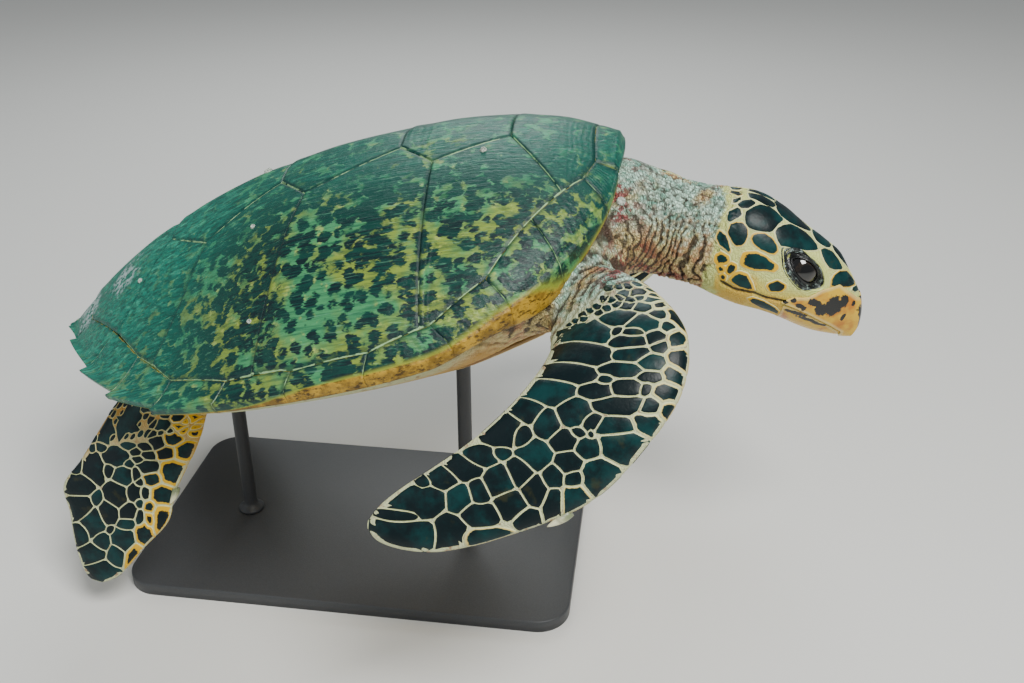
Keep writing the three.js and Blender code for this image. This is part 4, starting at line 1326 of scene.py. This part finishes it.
def standBaseMesh():
    length, width, height = stand["base"]
    bm = newMesh()
    bmesh.ops.create_cube(bm, size=1)
    bmesh.ops.scale(bm, vec=(length, width, height), verts=bm.verts[:])
    rounded = {"affect": "EDGES", "profile": 0.5, "material": -1}
    upright = [e for e in bm.edges if abs(e.verts[0].co.z - e.verts[1].co.z) > 1]
    bmesh.ops.bevel(bm, geom=upright, offset=stand["corner"], segments=12, **rounded)
    level = [e for e in bm.edges if min(vert.co.z for vert in e.verts) > 1 and abs(e.calc_face_angle(0)) > 1]
    bmesh.ops.bevel(bm, geom=level, offset=stand["edge"], segments=4, **rounded)
    bmesh.ops.translate(bm, vec=(0, 0, height / 2), verts=bm.verts[:])
    return bm


def rodMesh(offset):
    # A turned rod with a foot and a pad, its top pressed into the belly
    inverse = bodyToRow.inverted()
    place = Vector((shellPlace.x + offset, shellPlace.y, 0.1))
    up = (inverse.to_3x3() @ Vector((0, 0, 1))).normalized()

    def bellyAt(x, y):
        hit = hideTree.ray_cast(inverse @ (place + Vector((x, y, 0)) / 1000), up)[0]
        return (bodyToRow @ hit).z * 1000

    top, low = bellyAt(0, 0), stand["base"][2]
    rod, foot, pad = stand["rod"], stand["foot"], stand["pad"]
    bm = spun([
        (0.01, low), (foot, low), (foot, low + 3), (foot - 2, low + 5), (rod + 1.5, low + 8), (rod, low + 12),
        (rod, top - 34), (rod + 2, top - 27), (pad - 2, top - 21), (pad, top - 18), (pad, top - 9)], 48)
    for vert in bm.verts:
        if vert.co.z > top - 10:
            vert.co.z = bellyAt(vert.co.x, vert.co.y) - stand["pressed"]
    faceOut(bm)
    bmesh.ops.translate(bm, vec=(place.x * 1000, place.y * 1000, 0), verts=bm.verts[:])
    return bm


# Shading: a socket that takes part in Python expressions
class Shade:
    def __init__(self, tree, socket=None):
        self.tree = tree
        self.socket = socket

    def plug(self, target, value):
        if isinstance(value, Shade):
            self.tree.links.new(value.socket, target)
        else:
            target.default_value = value

    def node(self, kind, settings=(), inputs=(), output=0):
        made = self.tree.nodes.new("ShaderNode" + kind)
        for key, value in dict(settings).items():
            setattr(made, key, value)
        for key, value in dict(inputs).items():
            self.plug(made.inputs[key], value)
        return Shade(self.tree, made.outputs[output])

    def math(self, operation, *others):
        return self.node("Math", {"operation": operation}, dict(enumerate((self, *others))))

    def __add__(self, other):
        return self.math("ADD", other)

    def __mul__(self, other):
        return self.math("MULTIPLY", other)

    def __sub__(self, other):
        return self.math("SUBTRACT", other)

    def __rsub__(self, other):
        return self.node("Math", {"operation": "SUBTRACT"}, {0: other, 1: self})

    __radd__ = __add__
    __rmul__ = __mul__

    def least(self, other):
        return self.math("MINIMUM", other)

    def most(self, other):
        return self.math("MAXIMUM", other)

    def band(self, low, high):
        # 0 below low and 1 above high, or the other way round
        settings = {"interpolation_type": "SMOOTHSTEP"}
        return self.node("MapRange", settings, {"Value": self, "From Min": low, "From Max": high})

    def blend(self, first, second, share):
        # Colours are given as seen, 0 to 255
        first, second = [color if isinstance(color, Shade) else asLight(color) for color in (first, second)]
        return self.node("Mix", {"data_type": "RGBA"}, {0: share, 6: first, 7: second}, 2)

    def tint(self, color, share):
        return self.blend(self, color, share)

    def marks(self, names):
        return [self.node("Attribute", {"attribute_name": name}, output="Fac") for name in names]

    def place(self):
        return self.node("TexCoord", output="Object")

    def body(self):
        # The body frame, in metres
        turn = radians(carriage["pitch"])
        shift = Matrix.Rotation(turn, 3, "Y") @ -shellPlace
        return self.node("Mapping", {}, {"Vector": self.place(), "Location": shift, "Rotation": (0, turn, 0)})

    def axis(self, index):
        return self.node("SeparateXYZ", {}, {0: self}, index)

    def vector(self, operation, other, output="Vector"):
        return self.node("VectorMath", {"operation": operation}, {0: self, 1: other}, output)

    def stretched(self, x, y, z):
        return self.vector("MULTIPLY", (x, y, z))

    def warped(self, scale, amount):
        drift = self.node("TexNoise", {}, {"Vector": self, "Scale": scale, "Detail": 2}, "Color")
        shift = drift.vector("SUBTRACT", (0.5, 0.5, 0.5)).vector("MULTIPLY", (amount, amount, amount))
        return self.vector("ADD", shift)

    def noise(self, scale, detail=3, roughness=0.55):
        inputs = {"Vector": self, "Scale": scale, "Detail": detail, "Roughness": roughness}
        return self.node("TexNoise", {}, inputs)

    def cells(self, scale, feature="F1", randomness=1.0):
        inputs = {"Vector": self, "Scale": scale, "Randomness": randomness}
        return self.node("TexVoronoi", {"feature": feature}, inputs, "Distance")


def asLight(color):
    shares = [c / 255 for c in color]
    return (*[share / 12.92 if share < 0.04 else ((share + 0.055) / 1.055) ** 2.4 for share in shares], 1)


def makeMaterial(name, look=None, uniform=()):
    # look gives the colour, the roughness, and the height and depth of the bump
    material = bpy.data.materials.new(name)
    material.use_nodes = True
    tree = material.node_tree
    inputs = tree.nodes["Principled BSDF"].inputs
    for key, value in dict(uniform).items():
        inputs[key].default_value = value
    if look:
        start = Shade(tree)
        color, roughness, height, depth = look(start)
        start.plug(inputs["Base Color"], color)
        start.plug(inputs["Roughness"], roughness)
        if height:
            bump = start.node("Bump", {}, {"Height": height, "Distance": depth, "Strength": 1.0})
            start.plug(inputs["Normal"], bump)
    return material


crusts = [((-0.262, -0.035, 0.065), 0.032), ((-0.340, -0.030, 0.035), 0.034)]  # pale growth: place and reach


def shellLook(s):
    body = s.body()
    edge, growth, under, pale = s.marks(shellMarks)
    x, y = body.axis(0), body.axis(1).math("ABSOLUTE")
    streaks = body.stretched(6, 100, 100).noise(3, 5, 0.65)
    low, rear, top = y.band(0.07, 0.19), x.band(-0.02, -0.30), y.band(0.16, 0.03)
    # Dark spots that run together into streaks, on a lighter ground
    ragged = s.node("CombineXYZ", {}, {"X": (streaks - 0.5) * 0.018})
    drifted = body.warped(60, 0.010).vector("ADD", ragged)
    rough = body.stretched(1, 2.2, 2.2).noise(130, 4, 0.75)
    net = drifted.cells(72, "F1", 0.8) + (rough - 0.5) * 0.45 + (body.noise(12, 3, 0.5) - 0.5) * 0.8
    # The net and its flecks grow on the lower sides, which look yellower against the teal top: partly the
    # shell's own pattern, partly painted light
    net = (net + low * 0.13 - rear * 0.03 + top * 0.04 - 0.70).band(-0.02, 0.09)
    net = net.most(drifted.noise(60, 3, 0.6).band(0.57, 0.64) * (0.45 + low * 0.4))
    dark = s.blend((4, 58, 50), (0, 28, 32), streaks.band(0.42, 0.60))
    # On the top the light ground turns tealer: painted sky light
    light = s.blend((128, 150, 56), (66, 142, 92), (body.noise(17) + top * 0.12).band(0.42, 0.58))
    light = light.tint((190, 202, 96), body.noise(85).band(0.56, 0.72) * 0.6)
    ground = (0.92 - rear * 0.42 - top * 0.12) * (0.45 + streaks.band(0.36, 0.58) * 0.55)
    shade = dark.tint(light, net * ground)
    # Painted green-teal sky light on the rear and the top, fine scratches, and darker joints with broken pale
    # seams
    paintedSkyLight = (rear * 0.75 + top * 0.35).least(0.8) * (0.25 + streaks.band(0.38, 0.60) * 0.75)
    skyLightStreaks = body.stretched(8, 60, 60).noise(2, 4, 0.6).band(0.50, 0.68)
    shade = shade.tint(s.blend((14, 138, 116), (64, 184, 150), skyLightStreaks * 0.8), paintedSkyLight)
    scratches = body.stretched(28, 420, 420).noise(1, 3, 0.6).band(0.60, 0.70)
    shade = shade.tint((120, 186, 148), scratches * (0.25 + rear * 0.2))
    shade = shade.tint((70, 90, 40), body.noise(9, 4).band(0.60, 0.72) * x.band(0.12, 0.3) * 0.5)
    shade = shade.tint((3, 36, 38), edge.band(5.0, 1.0) * 0.6 * (1 - rear * 0.4))
    line = (edge + (body.noise(160) - 0.5) * 1.2).band(0.65, 0.1)
    broken = (pale * body.noise(55).band(0.42, 0.48)).most(body.noise(70).band(0.60, 0.66))
    shade = shade.tint((160, 200, 146), line * broken * 0.9)
    # The rim's yellow underside, and crusts
    horn = s.blend((176, 140, 44), (108, 82, 22), body.noise(30, 5, 0.7).band(0.42, 0.60) * 0.9)
    horn = horn.tint((44, 28, 8), body.stretched(1, 1, 2.2).noise(110, 5, 0.7).band(0.52, 0.60) * 0.8)
    shade = shade.tint((140, 150, 52), under.band(0, 0.5))
    shade = shade.tint(horn, (under + (body.noise(60, 4) - 0.5) * 0.6).band(0.3, 0.7))
    for spot, reach in crusts:
        away = body.vector("DISTANCE", spot, "Value") + (body.noise(60, 5, 0.75) - 0.5) * 0.09
        crust = away.band(reach, reach * 0.4) * body.noise(160).band(0.44, 0.52)
        shade = shade.tint((178, 196, 196), crust * 0.85)
    rings = (growth * 64 + body.noise(24) * 14).math("SINE")
    relief = streaks * 0.8 + rings * 0.06 + body.noise(170, 4) * 0.4 + net * 0.1
    return shade, 0.36 + (streaks - 0.5) * 0.35 + paintedSkyLight * 0.12, relief, 0.0013


skinMarks = ("neck", "red", "scaled", "head", "lit", "belly", "crease")


def skinLook(s):
    body = s.body()
    neck, red, scaled, head, lit, belly, crease = s.marks(skinMarks)
    fine = body.stretched(1.7, 1, 1).warped(90, 0.01).cells(210, "DISTANCE_TO_EDGE")
    grain = body.noise(70, 5, 0.65)
    shade = s.blend((212, 192, 128), (192, 144, 98), grain.band(0.42, 0.62))
    # Painted sky light: a cyan-white tint on the skin that faces upward
    skinSkyLight = s.blend((196, 238, 220), (112, 184, 166), body.noise(80, 4).band(0.45, 0.62))
    shade = shade.tint(skinSkyLight, lit * body.noise(24, 4).band(0.34, 0.52) * 0.9)
    freckles = body.warped(60, 0.01).cells(130).band(0.30, 0.20) * body.noise(30, 2).band(0.48, 0.56)
    shade = shade.tint((22, 62, 62), freckles * lit * neck * 0.8)
    blood = body.noise(75, 4, 0.7).band(0.47, 0.55) * body.noise(18).band(0.43, 0.56) * red
    shade = shade.tint((140, 20, 40), blood.least(1) * 0.9)
    # Painted shade: the skin darkens in the creases by their depth, and in the fine wrinkle grooves of the
    # neck
    shade = shade.tint((50, 36, 24), (crease.band(0.5, 2.2) * 0.9).most(fine.band(0.09, 0.0) * 0.6 * neck))
    cheek = s.blend((200, 208, 124), (202, 184, 76), head.band(1.2, 1.8))
    # Painted shade in the fine wrinkle grooves of the head
    cheek = cheek.tint((176, 168, 100), fine.band(0.08, 0.0) * 0.5)
    cheek = cheek.tint((206, 168, 62), (body.noise(34) + head * 0.4 - 1.08).band(0.0, 0.22))
    shade = shade.tint(cheek, head.band(0.05, 0.4))
    pads = s.blend((196, 200, 156), (140, 84, 60), body.noise(110).band(0.56, 0.68) * 0.7)
    shade = shade.tint(pads, scaled)
    shade = shade.tint((190, 146, 62), belly)
    # Painted shade: the head's creases, mostly the mouth line, are darkened nearly to black
    shade = shade.tint((24, 22, 16), head.band(0.5, 0.9) * crease.band(0.6, 1.8) * 0.9)
    return shade, 0.5 + grain * 0.15, fine.band(0, 0.2) * (0.2 + neck * 0.6) + grain * 0.5, 0.0016


def plateLook(s):
    body = s.body()
    edge, tone, border = s.marks(plateMarks)
    reach = edge - border * (0.55 + body.noise(330, 4, 0.7) * 0.9)
    cloud = body.noise(55, 4, 0.6)
    # The near-black plates turn teal in clouds and with each plate's tone: partly their own colour, partly a
    # painted teal sheen
    deep = s.blend((0, 18, 22), (2, 50, 51), (cloud + tone * 0.30 - 0.15).band(0.40, 0.80))
    deep = deep.tint((58, 56, 26), body.noise(38, 4).band(0.62, 0.72) * 0.4)
    fringe = s.blend((208, 212, 160), (212, 166, 26), edge.band(0.2, 1.2) * border.band(1.05, 1.7))
    relief = body.noise(240, 4) * 0.4 + cloud * 0.6
    return fringe.tint(deep, reach.band(-0.15, 0.25)), 0.36 + cloud * 0.14, relief, 0.0007


def eyeLook(s):
    turned, = s.marks(["turned"])
    iris = s.blend((34, 26, 18), (14, 11, 10), s.place().noise(420).band(0.4, 0.6))
    shade = s.blend((4, 4, 5), iris, turned.band(0.30, 0.36))
    return shade.tint((14, 13, 14), turned.band(0.56, 0.62)), 0.06, None, 0


def lidLook(s):
    body = s.body()
    ring, dark, fold = s.marks(("ring", "dark", "fold"))
    outer = s.blend((200, 208, 124), (210, 160, 44), body.noise(34).band(0.62, 0.8))
    inner = s.blend((14, 18, 20), (60, 66, 64), body.noise(130, 4).band(0.45, 0.65) * ring.band(1.0, 1.3))
    scratches = body.noise(240, 4, 0.7).band(0.54, 0.62) * ring.band(1.05, 1.2)
    inner = inner.tint((176, 200, 192), scratches * 0.6)
    shade = outer.tint(inner, (dark + (body.noise(110, 4) - 0.5) * 0.7).band(0.35, 0.6))
    # Painted shade in the folds of the lid
    shade = shade.tint((8, 9, 9), fold.band(0.35, 0.9) * 0.7 * dark.band(0.2, 0.6))
    return shade, 0.34, body.noise(420, 4), 0.0006


def beakLook(s):
    body = s.body()
    edge, dark = s.marks(("edge", "dark"))
    ragged = body.stretched(1.3, 1, 1).noise(150, 5, 0.7)
    shade = s.blend((208, 166, 24), (176, 108, 2), body.noise(40).band(0.42, 0.62))
    shade = shade.tint((220, 208, 140), edge.band(4.5, 1.0) * 0.5)
    shade = shade.tint((10, 12, 10), (dark + (ragged - 0.5) * 1.3).band(0.38, 0.50))
    return shade, 0.26, ragged * 0.3, 0.0005


def clawLook(s):
    along, = s.marks(["along"])
    return s.blend((120, 130, 96), (206, 204, 168), along.band(0.1, 0.7)), 0.35, s.place().noise(200), 0.0004


def plastronLook(s):
    body = s.body()
    edge, = s.marks(["edge"])
    shade = s.blend((214, 184, 104), (184, 134, 58), body.noise(14, 5, 0.6).band(0.42, 0.7))
    return shade.tint((112, 76, 36), edge.band(1.6, 0.4) * 0.8), 0.42, body.noise(90, 4) * 0.5, 0.001


def barnacleLook(s):
    grain = s.place().noise(700, 4, 0.7)
    return s.blend((206, 212, 200), (96, 108, 98), grain.band(0.42, 0.60)), 0.7, grain, 0.0004


def standLook(s):
    grain = s.place().noise(900, 3, 0.6)
    return s.blend((52, 54, 57), (62, 64, 67), grain.band(0.35, 0.7)), 0.42 + grain * 0.1, grain, 0.0002


shellMaterial = makeMaterial("shellHorn", shellLook, {"Specular IOR Level": 0.35})
skinMaterial = makeMaterial("turtleSkin", skinLook)
plateMaterial = makeMaterial("scalePlates", plateLook, {"Specular IOR Level": 0.25})
eyeMaterial = makeMaterial("eyeGloss", eyeLook, {"Coat Weight": 0.6})
lidMaterial = makeMaterial("eyelidSkin", lidLook)
beakMaterial = makeMaterial("beakHorn", beakLook)
clawMaterial = makeMaterial("clawHorn", clawLook)
plastronMaterial = makeMaterial("bellyHorn", plastronLook)
barnacleMaterial = makeMaterial("barnacleShell", barnacleLook)
standMaterial = makeMaterial("standPaint", standLook)

# Pieces, each with the node that it replaces
bothSides = (("left", 1), ("right", -1))


def shellPiece(name, bm):
    finishPiece(f"scute_{name}", bm, shellMaterial, [name])


for k in range(5):
    shellPiece(f"vertebral_{k + 1}", scuteMesh(vertebralPatch(k), keeled=True))
for k in range(4):
    for side, sign in bothSides:
        shellPiece(f"costal_{side}_{k + 1}", scuteMesh(costalPatch(k), mirror=sign < 0))
for k in range(12):
    for side, sign in bothSides:
        shellPiece(f"marginal_{side}_{k + 1}", marginalMesh(k, sign))
shellPiece("nuchal", nuchalMesh())
print("shell built")

for key in limbs:
    for side in ("right", "left"):
        left = side == "left"
        finishPiece(f"scales_{key}_{side}", limbPlates(key, left), plateMaterial)
        print(key, side, "scales laid")
        finishPiece(f"claw_{key}_{side}", clawMesh(key, left), clawMaterial, [f"{key}_claw_{side}"])
finishPiece("scales_head", headPlates(), plateMaterial)
for side, sign in bothSides:
    finishPiece(f"eyeball_{side}", eyeMesh(sign), eyeMaterial, [f"eye_{side}"])
    finishPiece(f"eyelid_{side}", lidMesh(sign), lidMaterial)
finishPiece("beak_top", beakMesh("upper"), beakMaterial, ["beak_upper"])
finishPiece("beak_bottom", beakMesh("lower"), beakMaterial, ["beak_lower"])
finishPiece("barnacles", barnacleMesh(), barnacleMaterial)
finishPiece("belly_plates", plastronMesh(), plastronMaterial, ["plastron"])
baseMiddle = sum(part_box("stand_base"), Vector()) / 2
toBase = Matrix.Translation((baseMiddle.x, baseMiddle.y, 0)) @ inMetres
finishPiece("stand_plinth", standBaseMesh(), standMaterial, ["stand_base"], toBase)
for end in ("front", "rear"):
    rod = rodMesh(carriage[f"{end}Rod"])
    finishPiece(f"stand_post_{end}", rod, standMaterial, [f"stand_rod_{end}"], inMetres)
print("head, claws and stand built")

# Skin, marked where it is wrinkled, bruised, under scales, on the head, lit from above, or part of the belly
hide.normal_update()
for mark in skinMarks[:-1]:
    hide.verts.layers.float.new(mark)
layers = [hide.verts.layers.float[mark] for mark in skinMarks[:-1]]
skyward = (bodyToRow.to_3x3().inverted() @ Vector((0, 0, 1))).normalized()
for vert in hide.verts:
    p, local, across = vert.co, headInverse @ vert.co, abs(vert.co.y)
    rise = rimHeight(p.x)
    onHead = smooth(-10, 16, local.x + 0.25 * local.z + noise.noise(p * 0.08) * 9) if p.x > 375 else 0
    limb = smooth(195, 240, across) if p.x > 0 else smooth(150, 180, across)
    if across < halfWidth(p.x):
        limb *= 1 - smooth(rise - 20, rise, p.z)
    belly = smooth(222, 178, p.x) * smooth(rise + 8, rise - 6, p.z) * (1 - limb)
    neck = max(smooth(200, 260, p.x) * (1 - onHead) * (1 - limb), 0.15)
    red = hump(p.x, 338, 30) + hump(local.x, -28, 16) * 0.9 + hump(local.x, 2, 8) * 0.5
    head = onHead * (1 + smooth(28, -16, local.z))
    lit = smooth(-0.1, 0.75, vert.normal.dot(skyward)) * (1 - belly)
    for layer, value in zip(layers, (neck, red, limb, head, lit, belly)):
        vert[layer] = value
flesh = ["head", "neck", "trunk", "tail"]
for part in ("front_arm", "front_blade", "hind_flipper"):
    flesh += [f"{part}_left", f"{part}_right"]
finishPiece("body_skin", hide, skinMaterial, flesh)

# Floor, light and camera
floorMesh = newMesh()
bmesh.ops.create_grid(floorMesh, x_segments=1, y_segments=1, size=6)
floorPiece = meshObject("floor", floorMesh)
floorMesh.free()
floorPaint = {"Base Color": (0.74, 0.74, 0.72, 1), "Roughness": 0.7}
floorPiece.data.materials.append(makeMaterial("floorPaint", uniform=floorPaint))

studio = {  # place, target, size, power, colour
    "key": ((1.1, -1.5, 2.7), (0.1, 0, 0.35), 1.1, 118, (1.0, 0.99, 0.95)),
    "fill": ((-2.2, -1.6, 1.2), (0, 0, 0.35), 2.0, 12, (0.90, 0.97, 1.0)),
    "back": ((-0.4, 2.2, 2.2), (0, 0, 0.4), 1.4, 34, (0.96, 1.0, 1.0)),
}


def placed(name, data, place, turn):
    made = bpy.data.objects.new(name, data)
    made.location, made.rotation_euler = place, turn
    bpy.context.scene.collection.objects.link(made)
    return made


for name, (place, target, size, power, color) in studio.items():
    lamp = bpy.data.lights.new(name, "AREA")
    lamp.size, lamp.energy, lamp.color = size, power, color
    placed(name, lamp, place, (Vector(target) - Vector(place)).to_track_quat("-Z", "Y").to_euler())
world = bpy.data.worlds.new("studio")
world.use_nodes = True
background = world.node_tree.nodes["Background"].inputs
background["Color"].default_value = (0.86, 0.90, 0.92, 1)
background["Strength"].default_value = 0.32
bpy.context.scene.world = world

view = {"place": (0.352, -1.159, 0.559), "azimuth": 7.93, "elevation": 28.39, "lens": 38.67}
lens = bpy.data.cameras.new("camera")
lens.lens, lens.sensor_width = view["lens"], 36
turn = (radians(90 - view["elevation"]), 0, radians(view["azimuth"]))
bpy.context.scene.camera = placed("camera", lens, shellPlace + Vector(view["place"]), turn)
